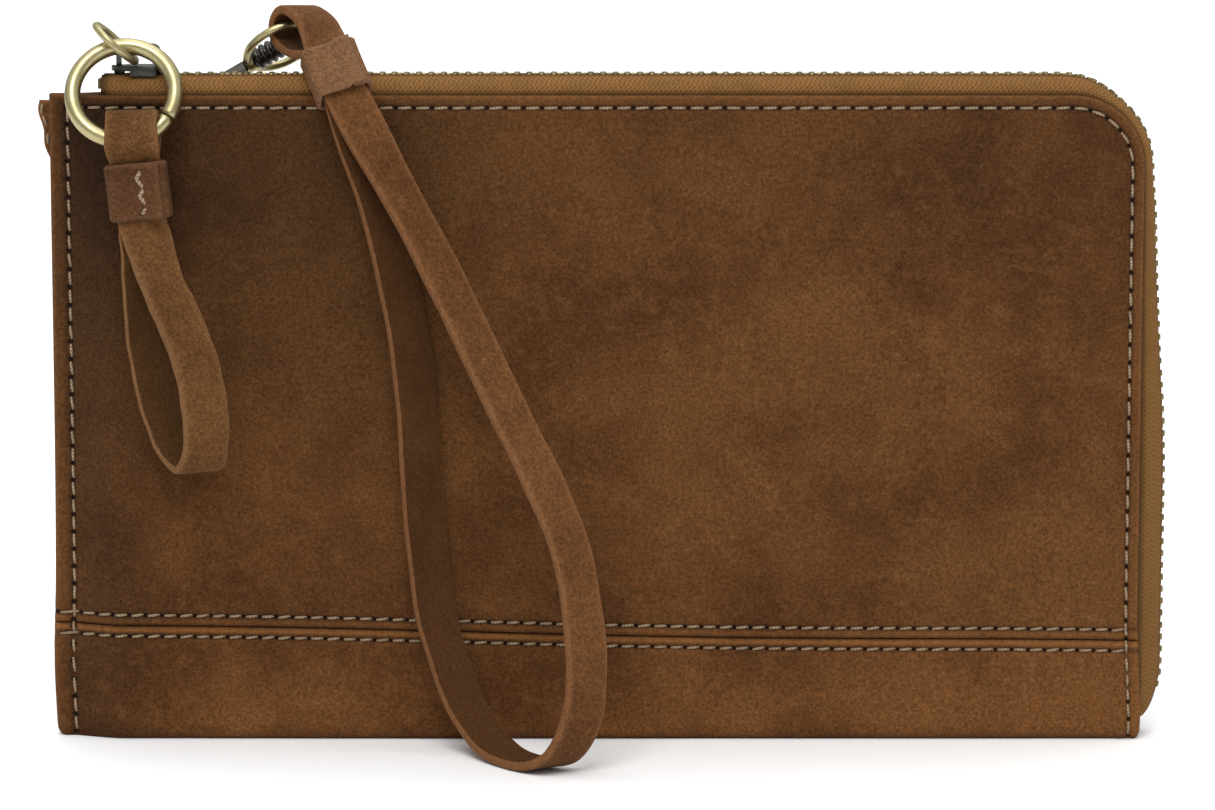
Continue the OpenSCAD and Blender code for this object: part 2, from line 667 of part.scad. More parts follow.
// ---- Snap hook: drawn with +X along the hook and Z through its thickness ----

module on_clasp() { translate(clasp_origin) rotate([0, -clasp_pitch, -clasp_yaw]) children(); }
// Moves children, drawn with +Z along a cylinder, to lie along the hook from x
module along_hook(x) { translate([x, 0, 0]) rotate([0, 90, 0]) children(); }

hook_t = 2.2;
eye_half = 2.2;
eye_wall = 1.4;
eye_outer = eye_half + eye_wall;
eye_l = 5;
shoulder_x = 6.5;
shoulder_half = 3.1;
neck_x = 13;
neck_half = 2;
hook_body_l = 22.1;
gate_x = 9;
gate_y = 1.3;
gate_root_r = 1.15;
gate_tip = [1.75, 2.9];
gate_knee = [5.8, 2.8];
gate_tip_r = 0.6;
gate_knee_r = 0.7;
gate_t = 1.3;
gate_mouth = [0.8, 7.6];
gate_slot = [6.4, 10.8];
gate_slot_t = 1.5;
knob_l = 1.6;
knob_h = 1.7;
pin_r = 0.5;
running_gap = 0.06;
post_r = 0.75;
post_start = 17;

module hook_outline() {
    difference() {
        union() {
            circle(r = eye_outer);
            translate([0, -eye_outer]) square([shoulder_x + 0.5, eye_outer]);
            hull() {
                translate([shoulder_x, -shoulder_half]) square([1, 2 * shoulder_half]);
                translate([neck_x, -neck_half]) square([hook_body_l - neck_x, 2 * neck_half]);
            }
        }
        circle(r = eye_half);
        translate([0, -eye_half]) square([eye_l, 2 * eye_half]);
        // the gate's opening
        translate([gate_mouth[0], 0]) square([gate_mouth[1] - gate_mouth[0], 2 * eye_outer]);
    }
}
module hook_body() {
    color(gunmetal) on_clasp() difference() {
        translate([0, 0, -hook_t / 2]) linear_extrude(hook_t) hook_outline();
        // slot that the gate's root sits in
        translate([gate_slot[0], gate_y - gate_root_r - 0.1, -gate_slot_t / 2])
            cube([gate_slot[1] - gate_slot[0], 2 * eye_outer, gate_slot_t]);
        // bore for the gate's pin
        translate([gate_x, gate_y, -hook_t]) cylinder(r = pin_r + 0.02, h = 2 * hook_t);
        // bore for the swivel post
        along_hook(post_start - 0.1) cylinder(r = post_r + running_gap, h = hook_body_l);
    }
}
module gate_pin() {
    color(gunmetal) on_clasp() translate([gate_x, gate_y, -hook_t / 2 - 0.1]) cylinder(r = pin_r, h = hook_t + 0.2);
}
module hook_gate() {
    color(gunmetal) on_clasp() translate([0, 0, -gate_t / 2]) linear_extrude(gate_t) difference() {
        union() {
            hull() {
                translate([gate_x, gate_y]) circle(r = gate_root_r);
                translate(gate_knee) circle(r = gate_knee_r);
            }
            hull() {
                translate(gate_knee) circle(r = gate_knee_r);
                translate(gate_tip) circle(r = gate_tip_r);
            }
            // thumb knob
            translate([gate_tip[0] + 1.5, gate_tip[1]]) square([knob_l, knob_h]);
        }
        translate([gate_x, gate_y]) circle(r = pin_r + running_gap);
    }
}
// A small leaf behind the gate's root
spring_t = 0.25;
spring_l = 1.6;
spring_drop = 0.6;
module gate_spring() {
    color("silver") on_clasp()
        translate([gate_x + gate_root_r + 0.2, gate_y - spring_drop, -gate_slot_t / 3])
            cube([spring_t, spring_l, 2 * gate_slot_t / 3]);
}

// The swivel eye is a round ring on a collar that turns on the post. Its wire centre line meets the collar.
eye_ring_x = 30;
eye_wire_r = 0.8;
// How far the eye's plane turns round the hook's axis
eye_tilt = 28;
collar_r = 1.75;
collar_x = hook_body_l + 0.15;
collar_l = 1.9;
head_x = collar_x + collar_l + 0.15;
head_l = 6;
head_r = 2.3;
rib_l = 0.85;
rib_pitch = 1.4;

// The post ends in a ribbed head inside the eye
module swivel_post() {
    color(gunmetal) on_clasp() {
        along_hook(post_start) cylinder(r = post_r, h = head_x - post_start + 0.1);
        along_hook(head_x) cylinder(r = head_r - 0.45, h = head_l);
        for (i = [0 : 3]) along_hook(head_x + 0.45 + i * rib_pitch) cylinder(r = head_r, h = rib_l);
    }
}
module swivel_ring() {
    color(antique_brass) on_clasp() difference() {
        union() {
            translate([eye_ring_x, 0, 0]) rotate([-eye_tilt, 0, 0])
                rotate_extrude() translate([eye_ring_r, 0]) circle(r = eye_wire_r, $fn = 24);
            along_hook(collar_x) cylinder(r = collar_r, h = collar_l);
        }
        along_hook(collar_x - 1) cylinder(r = post_r + running_gap, h = collar_l + 2);
    }
}

front_panel();
back_panel();
bottom_band();
front_stiffener();
back_stiffener();
lining();
card_pocket_1();
card_pocket_2();
card_pocket_3();
slip_pocket();
front_edge_thread();
back_edge_thread();
front_seam_thread();
back_seam_thread();
zip_tape_front();
zip_tape_back();
zip_teeth_front();
zip_teeth_back();
zip_end_stops();
slider_body();
slider_bridge();
jump_ring();
pull_ring();
fob_loop();
fob_keeper();
fob_thread();
d_ring_tab();
tab_thread();
d_ring();
hook_body();
gate_pin();
gate_spring();
hook_gate();
swivel_post();
swivel_ring();
wrist_strap();
strap_keeper();
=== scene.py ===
import math

import bmesh
import bpy
import numpy as np
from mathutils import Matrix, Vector


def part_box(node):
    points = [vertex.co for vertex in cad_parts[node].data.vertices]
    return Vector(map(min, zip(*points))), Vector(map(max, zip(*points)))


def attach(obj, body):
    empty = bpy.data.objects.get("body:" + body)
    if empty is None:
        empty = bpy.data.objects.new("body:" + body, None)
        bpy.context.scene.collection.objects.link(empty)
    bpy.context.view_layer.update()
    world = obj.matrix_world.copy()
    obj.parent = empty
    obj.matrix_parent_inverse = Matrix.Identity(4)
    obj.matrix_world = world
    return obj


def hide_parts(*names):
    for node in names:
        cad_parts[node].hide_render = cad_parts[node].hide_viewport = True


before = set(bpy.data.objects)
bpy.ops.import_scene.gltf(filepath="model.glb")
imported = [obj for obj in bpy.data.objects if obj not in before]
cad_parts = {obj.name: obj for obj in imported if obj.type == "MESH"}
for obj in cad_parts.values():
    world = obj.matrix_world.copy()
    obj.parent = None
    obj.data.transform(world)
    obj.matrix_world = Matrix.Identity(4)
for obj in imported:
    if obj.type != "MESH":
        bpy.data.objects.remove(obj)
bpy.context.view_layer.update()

# ------------------------ sizes, in millimetres
MM = 0.001
front_lo, front_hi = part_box("front_panel")
X0, X1 = front_lo.x / MM, front_hi.x / MM
PANEL_W, PANEL_H = X1 - X0, front_hi.z / MM
HALF_T, BULGE = 6.5, 2.0  # half thickness at the zip, and what the middle adds
SEAM_HALF, SEAM_RUN = 2.2, 12.0  # half thickness at the left seam, and how far it takes to open
CORNER_R = 14.0
CX, CZ = X1 - CORNER_R, PANEL_H - CORNER_R
BAND_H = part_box("bottom_band")[1].z / MM
SEAM_GAP = 0.1  # between the band's edge and the panel's
LEATHER_T = 1.4
FLAT, HIGH = 0.65, 0.6  # the base's flat share, and its turn's height per half thickness
TURN_H = HIGH * HALF_T
PITCH, EDGE_PITCH, EDGE_START = 3.22, 3.55, 0.9
EDGE_INSET, SEAM_INSET = 2.4, 2.05  # the two kinds of stitch rows, in from their edges
SEAM_START = 0.4
EDGE_R, EDGE_TOP = CORNER_R - EDGE_INSET, PANEL_H - EDGE_INSET
EDGE_RUN = EDGE_TOP + CX - X0 - EDGE_INSET  # length of the edge row up to the round corner
NO_STITCH = 9.0  # a distance from a row that shows no hole
HEM, SLIT = 9.0, 2.2  # tape behind the leather's edge; half the gap that the teeth bridge
TURN_Z, ZIP_LOW = 16.0, 3.5  # where the zip starts to draw in, and where it ends
TAPE_X0 = X0 + 9
CHAIN_OUT = 3.1  # the teeth's middle line, out from the leather's edge
ZIP_RUN, ZIP_ARC = CX - TAPE_X0, (CORNER_R + CHAIN_OUT) * math.pi / 2
ZIP_LEN = ZIP_RUN + ZIP_ARC + (CZ - ZIP_LOW)
SIDES = ((-1, "front"), (1, "back"))
rng = np.random.default_rng(7)


def lerp(a, b, t):
    return a + (b - a) * t


def smooth(t):
    t = np.clip(t, 0, 1)
    return t * t * (3 - 2 * t)


def arch(t):
    t = np.clip(t, 0, 1)
    return 4 * t * (1 - t)


def bell(d, centre, width):
    return np.exp(-(((d - centre) / width) ** 2))


def soft(x, z, seed):
    """Slow unevenness of a leather face."""
    g = np.random.default_rng(seed)
    total = 0 * (x + z)
    for size in (88, 61, 43, 30, 21, 15):
        a, p = g.uniform(0, 2 * math.pi, 2)
        k = 2 * math.pi / size
        total = total + size / 60 * np.sin(k * (x * math.cos(a) + z * math.sin(a)) + p)
    return 0.085 * total


def half_at(x, z):
    """Half thickness of the pouch, seam to zip and bulging in the middle."""
    open_ = lerp(SEAM_HALF, HALF_T, smooth((x - X0) / SEAM_RUN))
    return open_ + BULGE * arch((x - X0) / PANEL_W) * arch(z / PANEL_H) * smooth((x - X0) / 60)


def skin_t(x):
    """Leather thickness: the edge is turned in at the left seam, so both faces meet there."""
    return lerp(half_at(x, 0 * x) - 0.03, LEATHER_T, smooth((x - X0 - 3.5) / 7))


def sag(points):
    """Moves leather and stitches to the photographed lines: the seam's slope and dip, the wide left
    rim and the flared right foot. The last two are taken at the height that the first gives."""
    out = np.array(points, float)
    x, z = out[..., 0], out[..., 2]
    shift = 1.0 - 0.01321 * x - 8.455e-5 * x * x - 1.4 * bell(x, 18, 64)
    away = z - BAND_H
    share = np.where(away > 0, 1 - smooth((away - 6) / 50), 1 - smooth((-away - 5) / 11))
    z = z + shift * share
    rim = (1.45 + 0.35 * bell(z, 14, 30)) * (1 - smooth((x - X0) / 3.0))
    rim = rim + 0.45 * bell(z, 15, 11) * (1 - smooth((x - X0) / 14))
    flare = 0.9 * smooth((x - X1 + 30) / 30) * (1 - smooth(z / 26))
    out[..., 0], out[..., 2] = x - rim + flare, z
    return out


def roll(d, r):
    """How far a rounded edge of radius r has dropped at distance d from its tip."""
    d = np.clip(d, 0, r)
    return r - np.sqrt(np.maximum(0, r * r - (r - d) ** 2))


def border(d, at):
    """The raised rim, the stitched groove and the swelling beside it."""
    return 0.16 * bell(d, at * 0.5, at * 0.28) - 0.3 * bell(d, at, 0.42) + 0.2 * bell(d, at + 1.9, 1.4)


def outline_inset(x, z):
    """Distance in from the panel's outline: left, top, round corner and right."""
    inner = np.minimum(X1 - x, PANEL_H - z)
    corner = CORNER_R - np.hypot(np.maximum(x - CX, 0), np.maximum(z - CZ, 0))
    return np.minimum(x - X0, np.where((x > CX) & (z > CZ), corner, inner))


def box_inset(x, z):
    """Distance in from the border of a grid."""
    return np.minimum(np.minimum(x - x.min(), x.max() - x), np.minimum(z - z.min(), z.max() - z))


def surface(side, x, z, banded):
    """A panel's or the band's outer skin as half thickness, leather thickness, and the insets from its
    outline and from the seam."""
    if banded:
        edge, seam = np.minimum(x - X0, X1 - x), BAND_H - z
        fade = smooth(edge / 3) * smooth(z / 8)
    else:
        edge, seam = outline_inset(x, z), z - BAND_H - SEAM_GAP
        fade = smooth(edge / 3)
    t = skin_t(x)
    drop = np.maximum(roll(edge, t / 2), roll(seam, np.minimum(t / 2, 0.45)))
    h = half_at(x, z) + soft(x, z, 11 if side < 0 else 12) * fade
    h = h + border(edge, EDGE_INSET) + 1.15 * border(seam, SEAM_INSET) + 0.28 * bell(seam, 0.8, 0.5)
    return h - drop, t - 2 * drop, edge, seam


def stitch_route_s(x, z):
    """Arc length along the edge stitching nearest to a point."""
    phi = np.arctan2(np.maximum(x - CX, 0), np.maximum(z - CZ, 1e-9))
    down = EDGE_RUN + EDGE_R * math.pi / 2 + (CZ - z)
    s = np.where((x > CX) & (z > CZ), EDGE_RUN + EDGE_R * phi, EDGE_TOP + (x - X0 - EDGE_INSET))
    s = np.where((z <= CZ) & (X1 - x < PANEL_H - z) & (X1 - x < x - X0), down, s)
    return np.where(x - X0 < np.minimum(PANEL_H - z, X1 - x), z, s)


# ------------------------ mesh helpers
def piece(node, word, body, slot, material, verts, faces, attrs=None, uvs=None, clean=None):
    """The piece NODE_word, which rides on a body and replaces that CAD node. clean is None, "turn" to
    make its normals point out, or "weld" to join points that coincide first."""
    me = bpy.data.meshes.new(node)
    me.from_pydata((np.asarray(verts, float) * MM).tolist(), [], [list(map(int, face)) for face in faces])
    me.validate()
    for key, values in (attrs or {}).items():
        me.attributes.new(key, "FLOAT", "POINT").data.foreach_set("value", np.asarray(values, np.float32))
    if uvs is not None:
        index = np.zeros(len(me.loops), np.int32)
        me.loops.foreach_get("vertex_index", index)
        layer = me.uv_layers.new(name="UVMap")
        layer.data.foreach_set("uv", np.asarray(uvs, np.float32)[index].ravel())
    me.shade_smooth()
    if clean:
        bm = bmesh.new()
        bm.from_mesh(me)
        if clean == "weld":
            bmesh.ops.remove_doubles(bm, verts=bm.verts, dist=1e-7)
        bmesh.ops.recalc_face_normals(bm, faces=bm.faces)
        bm.to_mesh(me)
        bm.free()
    me.materials.append(material)
    ob = bpy.data.objects.new(f"{node}_{word}", me)
    bpy.context.scene.collection.objects.link(ob)
    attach(ob, body)
    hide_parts(node)
    return ob


def points(x, y, z):
    """Points from their coordinates, numbers or arrays."""
    return np.stack(np.broadcast_arrays(x, y, z), -1)


def cos_sin(deg):
    return math.cos(math.radians(deg)), math.sin(math.radians(deg))


def grid_faces(rows, cols, start=0, flip=False, wrap_r=False, wrap_c=False):
    r = np.arange(rows if wrap_r else rows - 1)
    c = np.arange(cols if wrap_c else cols - 1)
    rr, cc = np.meshgrid(r, c, indexing="ij")
    r2, c2 = (rr + 1) % rows, (cc + 1) % cols
    quad = np.stack([rr * cols + cc, rr * cols + c2, r2 * cols + c2, r2 * cols + cc], -1)
    quad = quad.reshape(-1, 4) + start
    return quad[:, ::-1] if flip else quad


def end_caps(rows, cols, side=-1):
    """The two faces that close a tube made by grid_faces with wrap_c."""
    return [list(range(cols))[::side], list(range((rows - 1) * cols, rows * cols))[::-side]]


def shell(outer, inner, side=-1):
    """A closed sheet between two grids of points, both (rows, cols, 3)."""
    rows, cols = outer.shape[:2]
    n = rows * cols
    at = np.arange(n).reshape(rows, cols)
    loop = np.concatenate([at[0], at[1:, -1], at[-1, -2::-1], at[-2:0:-1, 0]])
    after = np.roll(loop, -1)
    rim = np.stack([loop, loop + n, after + n, after], -1)
    faces = np.concatenate([grid_faces(rows, cols), grid_faces(rows, cols, n, True), rim])
    if side > 0:
        faces = faces[:, ::-1]
    return np.concatenate([outer.reshape(-1, 3), inner.reshape(-1, 3)]), faces


def unit(v):
    v = np.asarray(v, float)
    return v / np.maximum(np.linalg.norm(v, axis=-1, keepdims=True), 1e-12)


def tangents(path, closed):
    if closed:
        return unit(np.roll(path, -1, 0) - np.roll(path, 1, 0))
    return unit(np.gradient(path, axis=0))


def run_length(points):
    """Distance along a line of points, from its first."""
    return np.concatenate([[0], np.cumsum(np.linalg.norm(np.diff(points, axis=0), axis=1))])


def tube(path, radius, sides=12, closed=False, up=(0, 0, 1)):
    """A round wire along a path. radius is one number or one per point."""
    path = np.asarray(path, float)
    n = len(path)
    t = tangents(path, closed)
    a = unit(np.cross(t, np.broadcast_to(np.asarray(up, float), t.shape)))
    b = np.cross(a, t)
    radius = np.broadcast_to(radius, n)[:, None, None]
    ang = np.arange(sides) * 2 * math.pi / sides
    ring = a[:, None] * np.cos(ang)[None, :, None] + b[:, None] * np.sin(ang)[None, :, None]
    verts = (path[:, None] + radius * ring).reshape(-1, 3)
    faces = grid_faces(n, sides, wrap_r=closed, wrap_c=True).tolist()
    uv = np.stack([np.repeat(run_length(path), sides), np.tile(np.arange(sides) / sides, n)], -1)
    if not closed:
        verts = np.concatenate([verts, path[:1], path[-1:]])
        uv = np.concatenate([uv, uv[:1], uv[-1:]])
        tip, last = n * sides, (n - 1) * sides
        for i in range(sides):
            j = (i + 1) % sides
            faces += [[j, i, tip], [last + i, last + j, tip + 1]]
    return verts, faces, uv


def merge(parts):
    """Joins (verts, faces, uv) parts into one."""
    verts, faces, uvs, base = [], [], [], 0
    for v, f, u in parts:
        verts.append(v)
        uvs.append(u)
        faces += [[i + base for i in face] for face in f]
        base += len(v)
    return np.concatenate(verts), faces, np.concatenate(uvs)


def catmull(points, steps=8):
    """A smooth closed curve through the points."""
    p = np.asarray(points, float)
    out = []
    for i in range(len(p)):
        a, b, c, d = p[i - 1], p[i], p[(i + 1) % len(p)], p[(i + 2) % len(p)]
        for t in np.arange(steps) / steps:
            out.append(0.5 * (2 * b + (c - a) * t + (2 * a - 5 * b + 4 * c - d) * t * t
                              + (3 * b - a - 3 * c + d) * t ** 3))
    return np.array(out)


def resample(path, values, gap):
    """Even spacing along a closed path, with the values that go with its points."""
    s = run_length(np.concatenate([path, path[:1]]))
    n = int(s[-1] / gap)
    at = np.arange(n) * s[-1] / n
    pick = lambda v: np.stack([np.interp(at, s, np.append(v[:, k], v[0, k])) for k in range(3)], -1)
    return pick(path), pick(values), at


def strip_section(w, t, edge_r=0.45):
    """Cross-section of a cut strip as (across, up, edge share), going round once."""
    hw, ht = w / 2, t / 2
    flat = np.linspace(-1, 1, 9)
    turns = (67, 45, 22, 0, -22, -45, -67)

    def corner(deg, side):
        c, s = cos_sin(deg)
        return side * (hw - edge_r + edge_r * c), (ht - edge_r) * np.sign(s) + edge_r * s, 1.0

    pts = [(u * (hw - edge_r), ht, smooth((abs(u) - 0.78) / 0.22) * 0.6) for u in flat]
    pts += [corner(deg, 1) for deg in turns]
    pts += [(u * (hw - edge_r), -ht, 0.35) for u in flat[::-1]]
    pts += [corner(deg, -1) for deg in turns[::-1]]
    return np.array(pts, float)


def strip(node, body, material, route, wides, w, t, seed, wear_and_highlight, inside, widen=None):
    """A leather strip along a closed curve of points, with its width direction at each point. Its last
    three arguments are how much its cut edges pale, how much painted shade darkens its inner face, and
    its width's share by point."""
    gap = 0.9
    path, dirs = catmull(route), catmull(wides)
    scale = np.ones(len(route)) if widen is None else np.asarray(widen, float)
    scale = resample(path, catmull(np.stack([scale] * 3, -1)), gap)[1][:, 0]
    path, dirs, s = resample(path, dirs, gap)
    for _ in range(2):
        dirs = (np.roll(dirs, 1, 0) + 2 * dirs + np.roll(dirs, -1, 0)) / 4
    along = tangents(path, True)
    wide = unit(dirs - (dirs * along).sum(1, keepdims=True) * along)
    up = np.cross(along, wide)
    sec = strip_section(w, t)
    g = np.random.default_rng(seed)
    length = s[-1] + gap
    wob = sum(0.012 * np.sin(2 * math.pi * k * s / length + g.uniform(0, 6)) for k in (5, 9, 14, 23))
    across = sec[:, 0] * (scale + wob)[:, None]
    verts = path[:, None] + wide[:, None] * across[..., None] + up[:, None] * sec[None, :, 1:2]
    n, m = len(path), len(sec)
    uv = np.stack([np.repeat(s, m), np.tile(run_length(sec[:, :2]), n)], -1)
    # painted shade on the inner face, as much as inside says
    inner = np.tile((sec[:, 1] < -0.9 * t / 2).astype(float), n)
    attrs = {"edge": np.tile(sec[:, 2], n) * (1 - inner) * wear_and_highlight, "dark": inner * inside}
    faces = grid_faces(n, m, wrap_r=True, wrap_c=True)
    piece(node, "leather", body, "strap_leather", material, verts.reshape(-1, 3), faces, attrs, uv)


# ------------------------ materials
class Nodes:
    """The shader nodes of one tree, by short names. Sockets are filled with a number or linked."""

    def __init__(self, tree):
        self.tree = tree

    def fill(self, node, inputs):
        for key, v in inputs.items():
            if isinstance(v, bpy.types.NodeSocket):
                self.tree.links.new(v, node.inputs[key])
            else:
                node.inputs[key].default_value = v

    def make(self, kind, inputs, out, **settings):
        node = self.tree.nodes.new("ShaderNode" + kind)
        for key, v in settings.items():
            setattr(node, key, v)
        self.fill(node, inputs)
        return node.outputs[out]

    def coords(self, stretch=(1, 1, 1), shift=0.0):
        """The object's own coordinates, in millimetres."""
        return self.make("Mapping", {"Vector": self.make("TexCoord", {}, "Object"),
                                     "Scale": [k / MM for k in stretch],
                                     "Location": (shift, shift * 0.7, shift * 1.3)}, "Vector")

    def uv(self):
        return self.make("UVMap", {}, "UV")

    def xyz(self, vector):
        return self.make("SeparateXYZ", {"Vector": vector}, "X").node.outputs

    def attr(self, name):
        return self.make("Attribute", {}, "Fac", attribute_name=name)

    def noise(self, vector, scale, detail, rough=0.55, distortion=0.0):
        return self.make("TexNoise", {"Vector": vector, "Scale": scale, "Detail": detail,
                                      "Roughness": rough, "Distortion": distortion}, "Fac")

    def math(self, op, a, b=0.0):
        return self.make("Math", {0: a, 1: b}, 0, operation=op)

    def add(self, total, *terms):
        for term in terms:
            total = self.math("ADD", total, term)
        return total

    def mul(self, total, *factors):
        for factor in factors:
            total = self.math("MULTIPLY", total, factor)
        return total

    def ramp(self, fac, low, high, to_low=0.0, to_high=1.0, kind="SMOOTHSTEP"):
        return self.make("MapRange", {"Value": fac, "From Min": low, "From Max": high, "To Min": to_low,
                                      "To Max": to_high}, "Result", interpolation_type=kind)

    def line(self, fac, low, high, to_low, to_high):
        return self.ramp(fac, low, high, to_low, to_high, "LINEAR")

    def mix(self, fac, a, b):
        colour = [v if isinstance(v, bpy.types.NodeSocket) else (*v, 1.0) for v in (a, b)]
        return self.make("Mix", {0: fac, 6: colour[0], 7: colour[1]}, 2, data_type="RGBA")

    def bump(self, height, strength, distance):
        return self.make("Bump", {"Height": height, "Strength": strength, "Distance": distance}, "Normal")

    def shader(self, inputs, sheen=None):
        """Fills the material's own shader; sheen is its weight and its tint."""
        if sheen:
            weight, tint = sheen
            inputs = inputs | {"Sheen Weight": weight, "Sheen Roughness": 0.5, "Sheen Tint": (*tint, 1)}
        self.fill(self.tree.nodes["Principled BSDF"], inputs)


def new_material(name):
    m = bpy.data.materials.new(name)
    m.use_nodes = True
    return m, Nodes(m.node_tree)


def leather(name, deep, mid, pale, edge, shift=0.0, panel=False):
    """Nubuck with clouds, mottling, nap and pores. A panel also has stitch holes, painted shade and painted
    light.
    """
    m, n = new_material(name)
    at = n.coords(shift=shift)
    cloud = n.noise(at, 0.016, 3, 0.5, 0.3)
    blot = n.noise(at, 0.05, 2, 0.5, 0.2)
    mottle = n.noise(at, 0.3, 3, 0.6)
    nap = n.noise(at, 1.5, 3, 0.65)
    fuzz = n.noise(at, 4.2, 2, 0.6)
    pore = n.make("TexVoronoi", {"Vector": at, "Scale": 2.4}, "Distance")
    col = n.mix(n.ramp(n.add(n.mul(cloud, 0.6), n.mul(blot, 0.4)), 0.38, 0.60), deep, mid)
    col = n.mix(n.ramp(mottle, 0.42, 0.8, 0.0, 0.4), col, pale)
    tone = n.mul(n.line(nap, 0.30, 0.72, 0.6, 1.4), n.line(fuzz, 0.32, 0.7, 0.7, 1.3),
                 n.line(pore, 0.05, 0.42, 0.80, 1.05))
    if panel:
        # painted shade at the left rim and round the straps towards the top left, darker along the top,
        # painted light on the band
        x, _, z = n.xyz(n.coords())
        corner = n.mul(n.ramp(x, -42.0, -8.0, 1.0, 0.0), n.ramp(z, 38.0, 96.0))
        tone = n.mul(tone, n.line(x, -98.0, -82.0, 0.62, 1.0), n.math("SUBTRACT", 1.0, n.mul(corner, 0.4)),
                     n.line(z, 4.0, BAND_H + 4, 1.3, 1.0), n.ramp(z, 90.0, 118.0, 1.0, 0.82))
    col = n.make("HueSaturation", {"Color": col, "Value": tone}, "Color")
    col = n.mix(n.mul(n.attr("edge"), n.ramp(nap, 0.3, 0.7, 0.5, 1.0)), col, edge)
    height = n.add(n.mul(nap, 0.6), n.mul(fuzz, 0.4), n.mul(pore, 0.4))
    for row, pitch in (("row", EDGE_PITCH), ("seam", PITCH)) if panel else ():
        # a needle hole at each end of a stitch, darkened as painted shade, and a darker line along the row
        off = n.attr(row + "_d")
        turn = n.math("FRACT", n.add(n.math("DIVIDE", n.attr(row + "_s"), pitch), 0.5))
        along = n.mul(n.math("SUBTRACT", turn, 0.5), pitch)
        r = n.math("SQRT", n.add(n.math("POWER", along, 2.0), n.math("POWER", off, 2.0)))
        hole = n.ramp(r, 0.26, 0.55, 1.0, 0.0)
        col = n.mix(n.ramp(n.math("ABSOLUTE", off), 0.1, 0.9, 0.28, 0.0), col, [0.5 * c for c in deep])
        col = n.mix(n.mul(hole, 0.95), col, (0.004, 0.002, 0.001))
        height = n.math("SUBTRACT", height, n.mul(hole, 2.2))
    shade = (0.6, 0.38, 0.3) if panel else (0.42, 0.42, 0.28)
    n.shader({"Base Color": n.mix(n.attr("dark"), col, [d * k for d, k in zip(deep, shade)]),
              "Roughness": n.ramp(nap, 0.3, 0.75, 0.9, 0.74), "Specular IOR Level": 0.12,
              "Normal": n.bump(height, 0.5, 0.00028)}, (0.05, (0.75, 0.5, 0.32)))
    return m


def cloth(name, dark, light, warp, weft, depth=0.0002, lean=0.0, turn_at=None):
    """Woven cloth on UVs that run in millimetres: u along the strip, v across it. With turn_at, the
    weave leans both ways from that v, as herringbone, and painted shade makes it darker and duller down
    the pouch's side."""
    m, n = new_material(name)
    uv = n.uv()
    u, v, _ = n.xyz(uv)
    wob = n.mul(n.noise(uv, 0.9, 3), 0.5)
    across = v if turn_at is None else n.math("ABSOLUTE", n.math("SUBTRACT", v, turn_at))
    a = n.math("SINE", n.mul(n.add(u, wob, n.mul(across, lean)), 2 * math.pi / warp))
    b = n.math("SINE", n.mul(n.add(v, wob), 2 * math.pi / weft))
    weave = n.add(n.mul(a, b, 0.5), 0.5)
    rib = n.add(n.mul(a, 0.5), 0.5)
    at = n.coords()
    f = n.add(n.mul(weave, 0.45), n.add(n.mul(rib, 0.3), n.mul(n.noise(at, 9.0, 2), 0.4)))
    col = n.mix(n.ramp(f, 0.1, 1.05), dark, light)
    col = n.mix(n.ramp(n.noise(at, 0.25, 4), 0.4, 0.7, 0.0, 0.3), col, dark)
    if turn_at is not None:
        # painted shade: below 94 to 116 mm up, down the pouch's side, the tape is mixed halfway to a
        # darker, flatter tone
        col = n.mix(n.ramp(n.xyz(at)["Z"], 94.0, 116.0, 0.5, 0.0), col,
                    [0.36 * (a + b) for a, b in zip(dark, light)])
    # painted shade where the "dark" attribute says
    n.shader({"Base Color": n.mix(n.attr("dark"), col, [c * 0.22 for c in dark]), "Roughness": 0.85,
              "Specular IOR Level": 0.15, "Normal": n.bump(f, 0.8, depth)}, (0.08, light))
    return m


def metal(name, base, dark, rough, tarnish, bright=None):
    m, n = new_material(name)
    at = n.coords()
    patch = n.noise(at, 0.3, 4, 0.6)
    fine = n.noise(at, 4.5, 4, 0.6)
    scratch = n.noise(n.coords((0.6, 14, 3)), 1.0, 3, 0.7)
    col = n.mix(n.ramp(patch, 0.42, 0.72, 0.0, tarnish), base, dark)
    col = n.mix(n.ramp(fine, 0.55, 0.75, 0.0, tarnish * 0.6), col, dark)
    if bright:
        col = n.mix(n.ramp(scratch, 0.62, 0.75, 0.0, 0.5), col, bright)
    uneven = n.add(n.mul(patch, 0.5), n.mul(scratch, 0.5))
    n.shader({"Base Color": col, "Metallic": 1.0, "Normal": n.bump(n.add(fine, scratch), 0.12, 0.00006),
              "Roughness": n.ramp(uneven, 0.35, 0.7, rough * 0.75, rough * 1.4)})
    return m


def thread(name, light, dark):
    m, n = new_material(name)
    u, v, _ = n.xyz(n.uv())
    twist = n.math("SINE", n.mul(n.add(n.math("DIVIDE", u, 0.62), n.mul(v, 2.0)), 2 * math.pi))
    at = n.coords()
    col = n.mix(n.ramp(twist, -0.9, 0.6), dark, light)
    col = n.mix(n.ramp(n.noise(at, 0.5, 3), 0.45, 0.7, 0, 0.45), col, dark)
    height = n.add(n.mul(twist, 0.5), n.noise(at, 12, 2))
    n.shader({"Base Color": col, "Roughness": 0.72, "Normal": n.bump(height, 0.7, 0.00008)}, (0.15, light))
    return m
